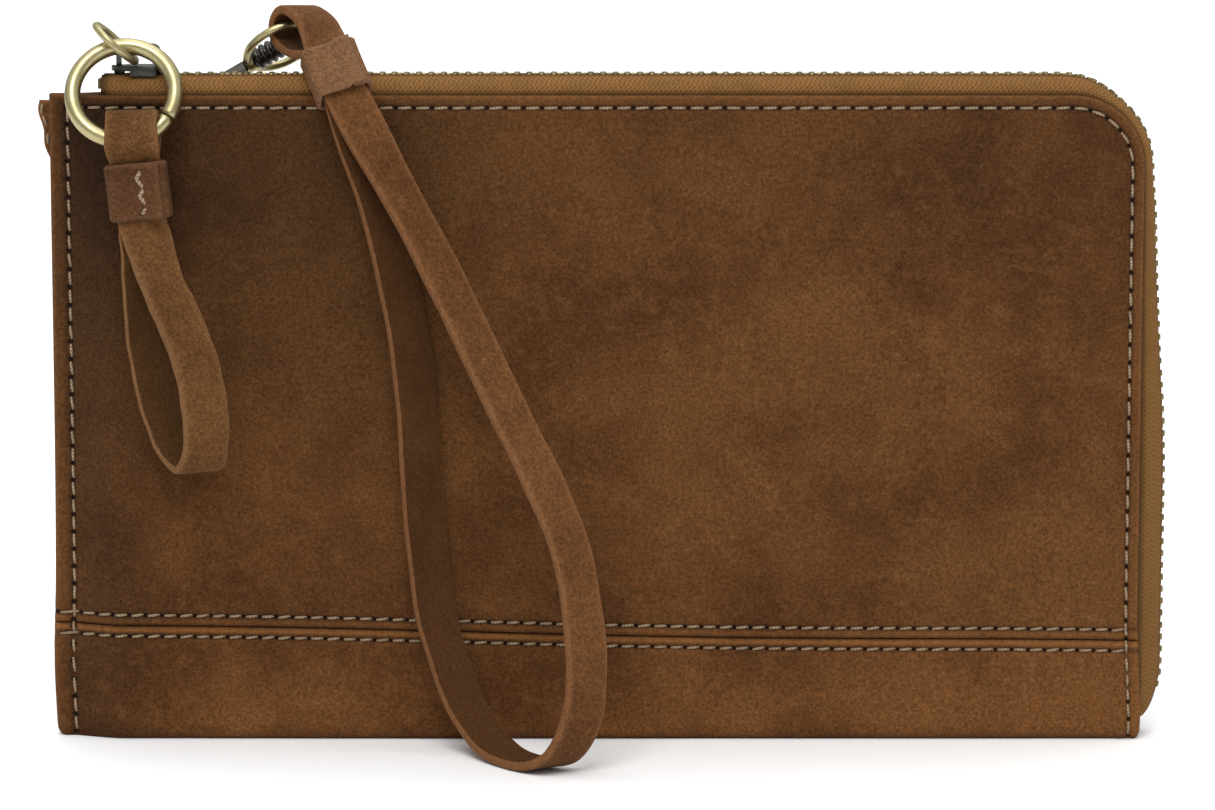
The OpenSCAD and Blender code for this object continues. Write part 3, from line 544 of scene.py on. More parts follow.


# leather: the darkest, middle and palest tone, and the colour of a worn edge, which on the panel also
# paints a highlight on the seam's ridge
M_PANEL = leather("panel_leather", (0.0634, 0.0231, 0.00584), (0.115, 0.046, 0.0126),
                  (0.148, 0.0647, 0.0197), (0.22, 0.0898, 0.026), panel=True)
M_STRAP = leather("strap_leather", (0.08, 0.0291, 0.00802), (0.124, 0.0505, 0.0151),
                  (0.166, 0.0725, 0.0231), (0.214, 0.0938, 0.0364), 41.0)
M_FOB = leather("fob_leather", (0.0756, 0.0308, 0.00884), (0.12, 0.0525, 0.0161),
                (0.165, 0.0794, 0.0269), (0.201, 0.0973, 0.0383), 17.0)
M_FOB_KEEPER = leather("fob_keeper_leather", (0.0626, 0.0244, 0.00905), (0.0963, 0.0418, 0.0162),
                       (0.128, 0.0603, 0.0267), (0.151, 0.0696, 0.0348), 29.0)
M_KEEPER = leather("keeper_leather", (0.112, 0.0483, 0.0203), (0.163, 0.0775, 0.0343),
                   (0.21, 0.109, 0.0533), (0.222, 0.114, 0.061), 73.0)
# cloth: dark and light tone, then the spacing of its two thread directions
M_TAPE = cloth("zip_tape_cloth", (0.112, 0.0489, 0.0115), (0.299, 0.149, 0.0462), 0.95, 0.7,
               0.00022, lean=0.9, turn_at=11.6)
M_LINING = cloth("lining_cloth", (0.16, 0.115, 0.07), (0.34, 0.27, 0.18), 0.5, 0.5)
M_FELT = cloth("stiffener_felt", (0.012, 0.010, 0.009), (0.03, 0.027, 0.024), 1.7, 1.3)
M_THREAD = thread("thread", (0.38, 0.275, 0.175), (0.16, 0.105, 0.058))
# metal: clean and tarnished tone, roughness, share of tarnish, tone of the scratches
M_BRASS = metal("antique_brass", (0.45, 0.395, 0.21), (0.19, 0.15, 0.06), 0.36, 0.38, (0.58, 0.53, 0.35))
M_TEETH = metal("zip_teeth_brass", (0.23, 0.175, 0.08), (0.06, 0.042, 0.018), 0.4, 0.8, (0.5, 0.43, 0.26))
M_GUN = metal("gunmetal", (0.07, 0.067, 0.06), (0.02, 0.019, 0.017), 0.34, 0.6, (0.3, 0.28, 0.25))
M_HOOK = metal("hook_gunmetal", (0.15, 0.14, 0.12), (0.05, 0.045, 0.035), 0.38, 0.55, (0.36, 0.33, 0.26))
M_STEEL = metal("spring_steel", (0.55, 0.55, 0.54), (0.3, 0.3, 0.3), 0.3, 0.3)

# ------------------------ leather panels and band
GRID = 0.95
FINE = [0, 0.1, 0.22, 0.36, 0.52, 0.7, 0.9, 1.15, 1.4, 1.65, 1.9, 2.1,
        2.3, 2.5, 2.7, 2.95, 3.25, 3.6, 4.05, 4.6, 5.3, 6.1, 7.0]


def spaced(a, b):
    """Grid lines from a to b, closer together near both ends."""
    lo, hi = [a + d for d in FINE], [b - d for d in FINE]
    n = max(2, int(round((hi[-1] - lo[-1]) / GRID)))
    return np.array(lo + list(np.linspace(lo[-1], hi[-1], n + 1)[1:-1]) + hi[::-1])


def corner_map(x, z):
    """Bends the square top right corner of a grid to the panel's round one."""
    a, b = np.maximum(x - CX, 0), np.maximum(z - CZ, 0)
    inside = (a > 0) & (b > 0)
    r = np.maximum(a, b)
    phi = np.where(a >= b, math.pi / 4 * b / np.maximum(a, 1e-9),
                   math.pi / 2 - math.pi / 4 * a / np.maximum(b, 1e-9))
    return np.where(inside, CX + r * np.cos(phi), x), np.where(inside, CZ + r * np.sin(phi), z)


COLS = spaced(X0, X1)


def leather_attrs(x, z, edge, seam, ridge):
    # paler at the worn outline, and a painted highlight on the ridge beside the seam, as much as ridge says
    wear_and_highlight = 0.5 * bell(edge, 0.25, 0.55) + ridge * bell(seam, 0.75, 0.55) + 0.2 * bell(edge, 1.3, 0.5)
    # painted shade in the seam's crease between panel and band; also darker right at the outline
    dark = 0.3 * bell(seam, -0.05, 0.2) + 0.25 * bell(edge, -0.1, 0.2)
    return {
        "edge": np.clip(wear_and_highlight, 0, 1), "dark": np.clip(dark, 0, 1),
        "row_s": stitch_route_s(x, z) - EDGE_START, "row_d": edge - EDGE_INSET,
        "seam_s": x - X0 - SEAM_START, "seam_d": seam - SEAM_INSET,
    }


def both_faces(attrs):
    """The values of a shell's two grids of points. The inner one shows no stitch holes."""
    inside = {key: np.full(v.shape, NO_STITCH) if key.endswith("_d") else v for key, v in attrs.items()}
    return {key: np.concatenate([v.ravel(), inside[key].ravel()]) for key, v in attrs.items()}


def build_panel(side, word):
    x, z = corner_map(*np.meshgrid(COLS, spaced(BAND_H + SEAM_GAP, PANEL_H)))
    h, t, edge, seam = surface(side, x, z, False)
    outer, inner = sag(points(x, side * h, z)), sag(points(x, side * (h - t), z))
    attrs = both_faces(leather_attrs(x, z, edge, seam, 0.3))
    piece(word + "_panel", "leather", "pouch", "panel_leather", M_PANEL, *shell(outer, inner, side), attrs,
          clean="weld")


def base_turn(h, depth, rise, arcs):
    """The turn from a wall of half thickness h into the base, as (y, z) for each grid line."""
    return [(h * (FLAT + (1 - FLAT) * math.cos(a)), depth + rise * (1 - math.sin(a))) for a in arcs]


def build_band():
    x, level = COLS, 0 * COLS
    drops = np.array(FINE + list(np.linspace(7, BAND_H - TURN_H - 0.6, 12)[1:]))
    t, edge = skin_t(x), np.minimum(x - X0, X1 - x)
    rim = roll(edge, t / 2)
    grids = []
    for inner in (False, True):
        def half_of(side, z):
            h, thick = surface(side, x, z + level, True)[:2]
            return side * (h - thick if inner else h)

        depth = t - rim if inner else rim
        halves = []
        for side in (-1, 1):
            half = [(half_of(side, BAND_H - d), BAND_H - d + level) for d in drops]
            h = half_of(side, TURN_H)
            half += base_turn(h, depth, TURN_H - depth * 0.6, np.radians(np.linspace(0, 90, 13)))
            half += [(h * FLAT * f, depth) for f in (0.66, 0.33)]
            halves.append(half)
        both = halves[0] + [(level, depth)] + halves[1][::-1]
        y, z = (np.stack([row[k] for row in both]) for k in (0, 1))
        z = z + roll(edge, LEATHER_T) * np.clip(1 - z / 6, 0, 1)
        grids.append(sag(points(x, y, z)))
    outer, inner = grids
    x, z = outer[..., 0], outer[..., 2]
    seam = np.full(z.shape, 9.0)
    seam[:len(drops)] = drops[:, None]
    seam[-len(drops):] = drops[::-1, None]
    attrs = leather_attrs(x, z, np.broadcast_to(edge, z.shape), seam, 0.85)
    attrs["row_s"] = np.where(x < 0, z, stitch_route_s(X1 - 0 * x, z)) - EDGE_START
    attrs["row_d"] = np.where(z > 0.5, attrs["row_d"], NO_STITCH)
    # painted shade at the foot, where the base meets the floor
    attrs["dark"] = np.clip(attrs["dark"] + 0.5 * bell(z, 0, 0.9), 0, 1)
    piece("bottom_band", "leather", "pouch", "panel_leather", M_PANEL, *shell(outer, inner, 1),
          both_faces(attrs), clean="weld")


for side, word in SIDES:
    build_panel(side, word)
build_band()


# ------------------------ stitches
THREAD_T = np.linspace(0, 1, 8)


def raised(low, rise):
    """Height of a thread that comes up out of one hole and goes down the next."""
    return low + rise * np.sin(math.pi * THREAD_T) ** 0.5


def face_point(side, x, z, lift, banded):
    """Points on a face, raised by lift. On the band they follow its turn into the base."""
    h = surface(side, x, z, banded)[0]
    if banded:
        a = 1 - np.clip(z / TURN_H, 0, 1)
        low = surface(side, x, 0 * z + TURN_H, True)[0]
        h = np.where(z < TURN_H, low * (FLAT + (1 - FLAT) * np.sqrt(1 - a * a)), h)
    return points(x, side * (h + lift), z)


def sew(node, body, threads):
    v, f, uv = merge(threads)
    piece(node, "stitches", body, "thread", M_THREAD, v, f, uvs=uv)


def stitch(row, s0, s1, slant):
    s = lerp(s0, s1, 0.13 + 0.74 * THREAD_T)
    path = row(s, raised(-0.26, 0.52), slant * (THREAD_T - 0.5))
    return tube(path, 0.3 * (0.75 + 0.25 * np.sin(math.pi * THREAD_T)), 6, up=(0.13, 0.9, 0.21))


def edge_rows(side):
    """Single stitches down the left edge, along the top, round the corner and down the right edge."""
    bend = EDGE_RUN + EDGE_R * math.pi / 2

    def row(s, lift, shift):
        phi = np.clip((s - EDGE_RUN) / EDGE_R, 0, math.pi / 2)
        x = np.where(s < EDGE_RUN, X0 + EDGE_INSET + (s - EDGE_TOP), CX + (EDGE_R + shift) * np.sin(phi))
        z = np.where(s < EDGE_RUN, EDGE_TOP + shift, CZ + (EDGE_R + shift) * np.cos(phi))
        x = np.where(s < EDGE_TOP, X0 + EDGE_INSET + shift, x)
        z = np.where(s < EDGE_TOP, s, np.where(s > bend, CZ - (s - bend), z))
        on_panel = face_point(side, x, np.maximum(z, BAND_H + SEAM_GAP), lift, False)
        on_band = face_point(side, x, np.minimum(z, BAND_H), lift, True)
        out = np.where((z < BAND_H + 0.05)[:, None], on_band, on_panel)
        out[:, 2] = z
        return sag(out)

    parts = []
    for i in range(int((bend + CZ - EDGE_START - 0.6) / EDGE_PITCH)):
        s0 = EDGE_START + i * EDGE_PITCH
        parts.append(stitch(row, s0, s0 + EDGE_PITCH, rng.normal(-0.12 if s0 < EDGE_TOP else 0.14, 0.09)))
    return parts


def seam_rows(side):
    """One row above the seam, on the panel, and one below it, on the band."""
    parts = []
    for z0, banded in ((BAND_H + SEAM_GAP + SEAM_INSET, False), (BAND_H - SEAM_INSET, True)):
        def row(s, lift, shift):
            return sag(face_point(side, X0 + SEAM_START + s, z0 + shift, lift, banded))
        for i in range(int((PANEL_W - 1.6) / PITCH)):
            parts.append(stitch(row, i * PITCH, (i + 1) * PITCH, rng.normal(0.3, 0.1)))
    return parts


for side, word in SIDES:
    for kind, rows in (("edge", edge_rows(side)), ("seam", seam_rows(side))):
        sew(f"{word}_{kind}_thread", "pouch", rows)


# ------------------------ inner layers
def wall_sheet(node, side, xa, xb, za, zb, depth, t, slot, material):
    """A flat cloth layer that follows a wall, its outer face depth inside the pouch's skin."""
    x, z = np.meshgrid(np.linspace(xa, xb, max(8, int((xb - xa) / 2.5))),
                       np.linspace(za, zb, max(6, int((zb - za) / 2.5))))
    h = half_at(x, z) - depth
    drop = roll(box_inset(x, z), t / 2) * 0.9
    v, f = shell(points(x, side * (h - drop), z), points(x, side * (h - t + drop), z), side)
    uv = np.tile(np.stack([x, z], -1).reshape(-1, 2), (2, 1))
    ob = piece(node, "cloth", "pouch", slot, material, v, f, uvs=uv, clean="weld")


IN_L, IN_R = X0 + 10, X1 - 3
LINING_DEPTH, LINING_T = 2.4, 0.35
for side, word in SIDES:
    wall_sheet(word + "_stiffener", side, IN_L, CX, BAND_H + 1, PANEL_H - 10, 1.55, 0.6,
               "stiffener", M_FELT)
POCKETS = [(f"card_pocket_{i + 1}", 1, -60, 32, 86 - 9 * i, 0.65 * i) for i in range(3)]
for node, side, xa, xb, top, further in POCKETS + [("slip_pocket", -1, -70, 80, 88, 0)]:
    wall_sheet(node, side, xa, xb, 24, top, LINING_DEPTH + 0.55 + further, 0.45,
               "lining_cloth", M_LINING)


def build_lining():
    x = np.linspace(IN_L, IN_R, 90)
    top = CZ + np.sqrt(np.maximum(0, CORNER_R ** 2 - np.maximum(x - CX, 0) ** 2))
    top = top - 3 - CORNER_R * smooth((x - CX) / CORNER_R)
    grids = []
    for depth in (LINING_DEPTH, LINING_DEPTH + LINING_T):
        h = half_at(x, 0 * x + TURN_H) - depth
        wall = [lerp(top, HIGH * h + depth, s) for s in np.linspace(0, 1, 30)[:-1]]
        rows = [(half_at(x, z) - depth, z) for z in wall]
        rows += base_turn(h, depth, HIGH * h, np.radians(np.linspace(0, 90, 8)))
        both = [(-y, z) for y, z in rows] + rows[::-1]
        grids.append(np.stack([points(x, y, z) for y, z in both]))
    uv = np.concatenate([g[..., [0, 2]].reshape(-1, 2) for g in grids])
    ob = piece("lining", "cloth", "pouch", "lining_cloth", M_LINING, *shell(*grids, 1), uvs=uv,
               clean="weld")


build_lining()


# ------------------------ zip
def zip_line(s):
    """Leather edge, outward direction and share of the full rise at distance s from the tape's left end."""
    a = np.clip((s - ZIP_RUN) / (CORNER_R + CHAIN_OUT), 0, math.pi / 2)
    past = s - ZIP_RUN - ZIP_ARC
    x = np.where(s < ZIP_RUN, TAPE_X0 + s, CX + CORNER_R * np.sin(a))
    z = np.where(s < ZIP_RUN, PANEL_H, CZ + CORNER_R * np.cos(a))
    z = np.where(past > 0, CZ - past, z)
    # it stands lower round the corner, higher again down the side, and draws in at its end
    dip = 1 - 0.5 * smooth((s - ZIP_RUN + 3) / 16)
    back = dip + 0.18 * smooth((past + 2) / 14) + 0.62 * smooth((past - 6) / 56)
    low = np.sqrt(np.maximum(0, 1 - np.clip((TURN_Z - z) / (TURN_Z - ZIP_LOW), 0, 1) ** 2))
    return np.stack([x, z], -1), np.stack([np.sin(a), np.cos(a)], -1), np.where(past > 0, back * low, dip)


# the tape's section, going round once: a line of the pouch, distance from it, and distance outward
TAPE_SECTION = [
    (line, *point) for line, run in (
        ("hem", ((0, -9), (0, -6))),
        ("edge", ((0, -3), (0.02, -0.3), (0.02, 0.5), (-0.05, 1.1), (-0.2, 1.7), (-0.48, 2.3), (-0.9, 2.8),
                  (-1.4, 3.2), (-1.95, 3.5))),
        ("slit", ((0.55, 3.72), (0.15, 3.78), (-0.05, 3.66), (-0.15, 3.42), (-1.1, 3.36), (-1.22, 3.1),
                  (-1.1, 2.86), (-0.05, 2.9))),
        ("edge", ((-1.9, 2.9), (-1.35, 2.4), (-0.85, 1.5), (-0.5, 0.1), (-0.5, -3))),
        ("hem", ((-0.5, -9),))) for point in run]


def build_tape(side, word):
    end = 16        # length of the tape's narrowing end, which has closer points
    s = np.concatenate([np.linspace(0, ZIP_LEN - end, int(ZIP_LEN / 0.8)),
                        ZIP_LEN - end * np.cos(np.linspace(0.05, 1, 26) * math.pi / 2)])
    base, out, k = zip_line(s)
    inside = lambda at, least: np.maximum(half_at(*at.T) - LEATHER_T - 0.12, least)
    lines = {"hem": inside(base - HEM * out, 2.6), "edge": inside(base, 2.9), "slit": SLIT}
    g = np.random.default_rng(3 + side)
    wave = sum(0.07 * np.sin(2 * math.pi * s / size + g.uniform(0, 6)) for size in (53, 31, 17, 9))
    verts, dark = [], []
    for line, dy, h in TAPE_SECTION:
        bulge = wave * bell(h, 2, 1.5)
        p = base + out * (np.where(h > 0, h * k, h) + 0.3 * bulge * (h > 0.4))[:, None]
        verts.append(points(p[:, 0], side * (lines[line] + dy + bulge * 0.35), p[:, 1]))
        # painted shade where the tape runs under the leather's edge and on the slit beside the teeth; also
        # darker at the tape's left end
        dark.append(0.8 * bell(h, -0.2, 0.5) + 0.3 * bell(h, 0.5, 0.4) + 0.35 * (line == "slit")
                    + 0.75 * bell(s, 0, 1.6))
    n, m = len(s), len(TAPE_SECTION)
    faces = grid_faces(n, m, wrap_c=True, flip=side > 0).tolist() + end_caps(n, m, side)[::-1]
    across = run_length(np.array([row[1:] for row in TAPE_SECTION]))
    uv = np.stack([np.repeat(s, m), np.tile(across, n)], -1)
    attrs = {"dark": np.clip(np.stack(dark, 1).ravel(), 0, 1)}
    verts = np.stack(verts, 1).reshape(-1, 3)
    piece("zip_tape_" + word, "woven", "pouch", "zip_tape", M_TAPE, verts, faces, attrs, uv, clean="weld")


def rounded_block(size, r):
    bm = bmesh.new()
    bmesh.ops.create_cube(bm, size=1.0)
    bmesh.ops.scale(bm, vec=size, verts=bm.verts)
    bmesh.ops.bevel(bm, geom=list(bm.edges), offset=r, segments=2, profile=0.6, affect="EDGES")
    v = np.array([p.co for p in bm.verts])
    f = [[p.index for p in q.verts] for q in bm.faces]
    bm.free()
    return v, f


SLIDER_NOSE, TOOTH_GAP = 3.5, 2.4


def build_teeth(side, word):
    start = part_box("slider_body")[0].x / MM + SLIDER_NOSE
    base, out, k = zip_line(np.linspace(start - TAPE_X0, ZIP_LEN - 5.4, 4000))
    line = base + out * (CHAIN_OUT * k + 0.35 * smooth((k - 1) / 0.25))[:, None]
    run = run_length(line)
    head, head_faces = rounded_block((1.12, 2.1, 1.95), 0.28)
    # the head is narrower at its tip
    tip = smooth((head[:, 1] + 0.2) / 1.2)
    head[:, 0] *= 1 - 0.16 * tip
    head[:, 2] *= 1 - 0.12 * tip
    clamp, clamp_faces = rounded_block((1.25, 0.9, 2.1), 0.3)
    parts = []
    g = np.random.default_rng(20 + side)
    for s in np.arange(0 if side < 0 else TOOTH_GAP / 2, run[-1], TOOTH_GAP):
        i = int(np.searchsorted(run, s))
        t = unit(line[min(i + 6, len(line) - 1)] - line[max(i - 6, 0)])
        for shape, faces, y in ((head, head_faces, -0.42), (clamp, clamp_faces, -1.68)):
            v = shape * (1 + g.normal(0, 0.015))
            along = v[:, 0] + g.normal(0, 0.03)
            q = line[i] + t * along[:, None] + out[i] * (v[:, 2] * min(1, 0.25 + k[i]))[:, None]
            parts.append((points(q[:, 0], -side * (v[:, 1] + y), q[:, 1]), faces, np.zeros((len(v), 2))))
    piece("zip_teeth_" + word, "metal", "pouch", "antique_brass", M_TEETH, *merge(parts)[:2], clean="turn")


for build in (build_tape, build_teeth):
    for side, word in SIDES:
        build(side, word)


# ------------------------ CAD metal pieces, with soft edges
def keep_cad(node, material, width):
    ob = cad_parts[node]
    ob.data.materials.clear()
    ob.data.materials.append(material)
    ob.modifiers.new("weld", "WELD").merge_threshold = 1e-6
    b = ob.modifiers.new("bevel", "BEVEL")
    b.width, b.segments, b.harden_normals = width * MM, 2, True
    b.limit_method, b.angle_limit = "ANGLE", math.radians(35)
    ob.data.shade_smooth()


keep_cad("zip_end_stops", M_TEETH, 0.18)
keep_cad("gate_spring", M_STEEL, 0.05)
for node, width in (("slider_body", 0.22), ("slider_bridge", 0.2)):
    keep_cad(node, M_GUN, width)
for node, width in (("hook_body", 0.45), ("gate_pin", 0.1), ("hook_gate", 0.3)):
    keep_cad(node, M_HOOK, width)


# ------------------------ rings
def turn(v, deg, axis=0):
    """Turns points about X (axis 0) or Y (axis 1)."""
    v = np.asarray(v, float)
    c, s = cos_sin(deg)
    i, j = (axis + 1) % 3, (axis + 2) % 3
    out = v.copy()
    out[..., i], out[..., j] = c * v[..., i] - s * v[..., j], s * v[..., i] + c * v[..., j]
    return out


def circle(r, first, last, n):
    """Points of a circle or arc in the XY plane, from one angle to another."""
    a = np.radians(np.linspace(first, last, n))
    return points(r * np.cos(a), r * np.sin(a), 0)


def wire(node, body, centre, points, radius, sides, deg, axis=0, closed=False):
    """A ring of brass wire, drawn in the XY plane, turned and moved to its place."""
    v, f, uv = tube(centre + turn(points, deg, axis), radius, sides, closed, turn((0, 0, 1), deg, axis))
    piece(node, "wire", body, "antique_brass", M_BRASS, v, f, uvs=uv)


wire("jump_ring", "pull_link", (-94.1, -2.8, 137.4), circle(5.1, 4, 356, 90), 0.75, 16, 43, axis=1)
thick = np.full(140, 1.55)
thick[[0, -1]] *= 0.88      # the open ring's ends are rounded
wire("pull_ring", "pull", (-92.1, -8.4, 128.1), circle(9.95, -29.2, 328.6, 140), thick, 24, 62.5)

# D-ring: an arc and a straight bar, one closed wire
CLASP = (-89, 12.6, 121.1)
CLASP_PITCH, CLASP_YAW = 29.9, 5
D_R, D_LEAN, D_GRIP = 8.5, 30, 45
(gx, gy), (cl, sl) = cos_sin(D_GRIP), cos_sin(D_LEAN)
D_C = CLASP - D_R * np.array([gx, gy * sl, gy * cl])
bar = np.linspace(-D_R + 0.9, D_R - 0.9, 24)[:, None] * (1, 0, 0)
wire("d_ring", "strap_anchor", D_C, np.concatenate([circle(D_R, 6, 174, 60), bar]), 0.98, 16, 90 - D_LEAN,
     closed=True)

# the snap hook's own axes
(cp, sp), (cy, sy) = cos_sin(CLASP_PITCH), cos_sin(CLASP_YAW)
HX, HY = np.array([cp * cy, -cp * sy, sp]), np.array([sy, cy, 0.0])
HOOK_AXES = np.stack([HX, HY, np.cross(HX, HY)])


def lathe(profile, sides=40):
    """Turns a profile of (x, radius) round the hook's axis."""
    pr = np.array(profile, float)
    a = np.arange(sides) * 2 * math.pi / sides
    pts = points(pr[:, :1], pr[:, 1:] * np.cos(a), pr[:, 1:] * np.sin(a)).reshape(-1, 3)
    return CLASP + pts @ HOOK_AXES, grid_faces(len(pr), sides, wrap_c=True), np.zeros((len(pts), 2))


COLLAR_X, COLLAR_L, PLAY = 22.25, 1.9, 0.15
HEAD_X = COLLAR_X + COLLAR_L + PLAY
prof = [(17, 0.001), (17, 0.7), (17.1, 0.75), (HEAD_X - 0.02, 0.75), (HEAD_X, 1.5), (HEAD_X + 0.12, 1.85)]
for x in HEAD_X + 0.45 + 1.4 * np.arange(4):    # the barrel's ribs
    prof += [(x - 0.02, 1.85), (x, 2.1), (x + 0.12, 2.26), (x + 0.42, 2.3), (x + 0.73, 2.26),
             (x + 0.85, 2.1), (x + 0.87, 1.85)]
prof += [(HEAD_X + 5.6, 1.85), (HEAD_X + 5.85, 1.7), (HEAD_X + 6, 1.3), (HEAD_X + 6, 0.001)]
v, f, _ = lathe(prof)
piece("swivel_post", "turned", "hook", "gunmetal", M_GUN, v, f, clean="weld")

EYE_R, EYE_X, EYE_TILT = 7.0, 30.0, -28.0
eye = CLASP + ((EYE_X, 0, 0) + turn(circle(EYE_R, 0, 356, 90), EYE_TILT)) @ HOOK_AXES
eye = tube(eye, 0.8, 16, True, turn((0, 0, 1), EYE_TILT) @ HOOK_AXES)
collar = [(0, 0.85), (0, 1.55), (0.2, 1.75), (1.7, 1.75), (COLLAR_L, 1.55), (COLLAR_L, 0.85), (0, 0.85)]
v, f, _ = merge([eye, lathe([(COLLAR_X + x, r) for x, r in collar])])
piece("swivel_ring", "wire", "swivel", "antique_brass", M_BRASS, v, f, clean="weld")


# ------------------------ fob
KEEP_L, WALL, LAYER = 11.0, 1.0, 0.95       # keepers: length, wall, and each strip layer off the middle


def keeper(node, body, material, centre, along, wide, w_in, t_in, seed, overlap, flare):
    """A band of leather folded round two layers of strip, its free end lapped over the front."""
    a = unit(along)
    b = unit(np.asarray(wide) - np.dot(wide, a) * a)
    c = np.cross(a, b)
    hw, ht, r = w_in / 2 + WALL / 2, t_in / 2 + WALL / 2, 0.95
    start, raise_ = (1 - 2 * overlap) * hw, WALL * 0.92
    # middle line of the wall, going round from a point on the outer face, then the lap on top of it
    line = [(start, ht)]
    for qx, qy, a0 in ((1, 1, 90), (1, -1, 0), (-1, -1, -90), (-1, 1, -180)):
        line += [(qx * (hw - r) + r * math.cos(g), qy * (ht - r) + r * math.sin(g))
                 for g in np.radians(a0 - 15 * np.arange(7))]
    line = np.array(line + [(-0.5 * hw, ht), (0.0, ht), (start, ht)])
    s = run_length(line)
    turns, lap = np.linspace(0, s[-1], 76), np.linspace(0.5, 2 * overlap * hw - 0.8, 5)
    x = np.append(np.interp(turns, s, line[:, 0]), start + lap)
    y = np.append(np.interp(turns, s, line[:, 1]), ht + raise_ + 0 * lap)
    i = np.arange(len(x))
    ease = smooth((i - len(turns) + 9) / 9) * smooth(x / max(start, 0.1)) * (x > 0) * (i < len(turns))
    y = y + ease * raise_
    nor = unit(np.gradient(np.stack([-y, x], -1), axis=0))
    taper = np.minimum(1, np.minimum(i, len(x) - 1 - i) / 1.5)
    wobble = 0.16 * np.sin(np.linspace(0, 7, len(x)) + np.random.default_rng(seed).uniform(0, 6))
    u = np.linspace(-1, 1, 22)[:, None]
    d, size = (1 - abs(u)) * KEEP_L / 2, abs(u)
    grids = []
    for sign in (1, -1):
        off = sign * (WALL / 2 - roll(d, WALL / 2)) * taper
        px = (x + nor[:, 0] * off) * (1 + 0.015 * size ** 2)
        py = (y + nor[:, 1] * off) * (1 + flare * size ** 3 * 0.5)
        pz = u * KEEP_L / 2 + wobble * size
        grids.append(centre + a * pz[..., None] + b * px[..., None] + c * py[..., None])
    wear_and_highlight = np.clip(1.1 * bell(d, 0, 0.45) + 0.9 * bell(i - (len(x) - 1), 0, 1.3), 0, 1).ravel()
    piece(node, "leather", body, "strap_leather", material, *shell(*grids), {"edge": np.tile(wear_and_highlight, 2)},
          clean="weld")


FOB_C, FOB_ALONG, FOB_W, FOB_T = (-89, -13.3, 109.6), np.array([0.11, 0, -0.994]), 9.4, 1.6
fob_pt = lambda s, side: FOB_C + FOB_ALONG * s * KEEP_L / 2 - (0, side * LAYER, 0)
fob_route = [(-90.2, -12.8, 124.45), (-90.1, -15.5, 121.5), (-89.9, -15.8, 118)]
fob_route += [fob_pt(s, 1) for s in (-1, 0, 1)]
fob_route += [(-87, -15.5, 100), (-84.5, -18.5, 93), (-80.5, -22, 85), (-77, -24.5, 76), (-75.5, -25, 66),
              (-76, -23.5, 59.5), (-77.5, -20, 56.5), (-79.5, -16.5, 57), (-82.5, -14.2, 61),
              (-85, -12.9, 68), (-87, -12.5, 78), (-88, -12.5, 90), (-88.2, -12.6, 100)]
fob_route += [fob_pt(s, -1) for s in (1, 0, -1)]
fob_route += [(-90.0, -9.9, 118), (-90.1, -9.7, 121.5)]
AT_RING, AT_KEEPER, TWISTING, HANGING = (1, 0, 0.02), (0.99, 0, 0.1), (0.95, 0.3, 0), (0.87, 0.5, 0)
fob_wides = [AT_RING] * 3 + [AT_KEEPER] * 3 + [TWISTING] + [HANGING] * 11 + [TWISTING] + [AT_KEEPER] * 3
fob_wides += [AT_RING] * 2
fob_widen = [1.08, 1.1, 1.09] + [1.0] * (len(fob_route) - 5) + [1.08, 1.1]
strip("fob_loop", "fob", M_FOB, fob_route, fob_wides, FOB_W, FOB_T, 5, 0.75, 0.55, fob_widen)
SLEEVE_T = 2 * LAYER + FOB_T + 0.5
keeper("fob_keeper", "fob", M_FOB_KEEPER, FOB_C, FOB_ALONG, AT_KEEPER, FOB_W + 0.5, SLEEVE_T, 4, 0.3, 0.12)

# zigzag stitches up the front of the fob's keeper
parts = []
zigzag = np.linspace(4.2, -4.2, 6)
for i in range(5):
    z = lerp(zigzag[i], zigzag[i + 1], THREAD_T)
    x = 0.75 + 0.62 * (-1) ** i * (1 - 2 * THREAD_T) + 0.12 * i - 0.11 * z
    y = -(SLEEVE_T / 2 + WALL + 0.02) - raised(-0.25, 0.5)
    parts.append(tube(FOB_C + points(x, y, z), 0.42, 8, up=(0, 1, 0.1)))
sew("fob_thread", "fob", parts)

# ------------------------ wrist strap
SK_C, SK_ALONG, SK_WIDE = (-51, -8, 131.9), unit((0.36, -0.53, -0.77)), (0.97, 0.2, 0.15)
STRAP_W, STRAP_T, BEND_R = 8.5, 1.8, 3.6
SK_OUT = unit(np.cross(SK_ALONG, SK_WIDE))
sk_pt = lambda s, side: SK_C + SK_ALONG * s * KEEP_L / 2 + SK_OUT * side * LAYER
# where it goes round the swivel ring: the ring's direction there, and the way to the keeper
LOOP_C, RING_W = (-59.2, 6.1, 139.9), np.array([0.758, 0.651, -0.036])
away = np.array([0.61, -0.735, -0.3])
away = unit(away - np.dot(away, RING_W) * RING_W)
lup = np.cross(away, RING_W)
loop_at = lambda d, u, w: LOOP_C + away * d + lup * u + RING_W * w
loop_round = lambda deg: loop_at(*(BEND_R * k for k in cos_sin(deg)), 0)
strap_route = [loop_round(a) for a in (180, 135, 90)] + [loop_at(5.5, 3.5, -0.7), loop_at(10, 2.3, -1.9)]
strap_route += [sk_pt(s, 1) for s in (-1, 0, 1)]
strap_route += [(-44, -13.5, 119), (-39, -15, 110), (-34.5, -17, 102), (-30, -19, 93.5), (-26, -21, 85.5),
                (-22, -23.5, 77.5), (-17, -27, 67.5), (-11, -31, 56), (-5.5, -35.5, 43), (-3, -38.5, 29),
                (-2.5, -39.5, 19.5), (-3.5, -39.5, 11), (-6.5, -38, 4.5), (-10.5, -35.5, 1.7),
                (-15, -31, 1.1), (-19, -25.5, 1.7), (-22.5, -20, 4), (-26.5, -16, 9.5), (-30, -14, 19),
                (-32.5, -13, 29), (-34.5, -12.6, 49), (-35.8, -12.4, 69), (-37, -12.2, 80),
                (-39.5, -11.8, 93), (-42.5, -11.2, 106), (-46, -10.8, 117)]
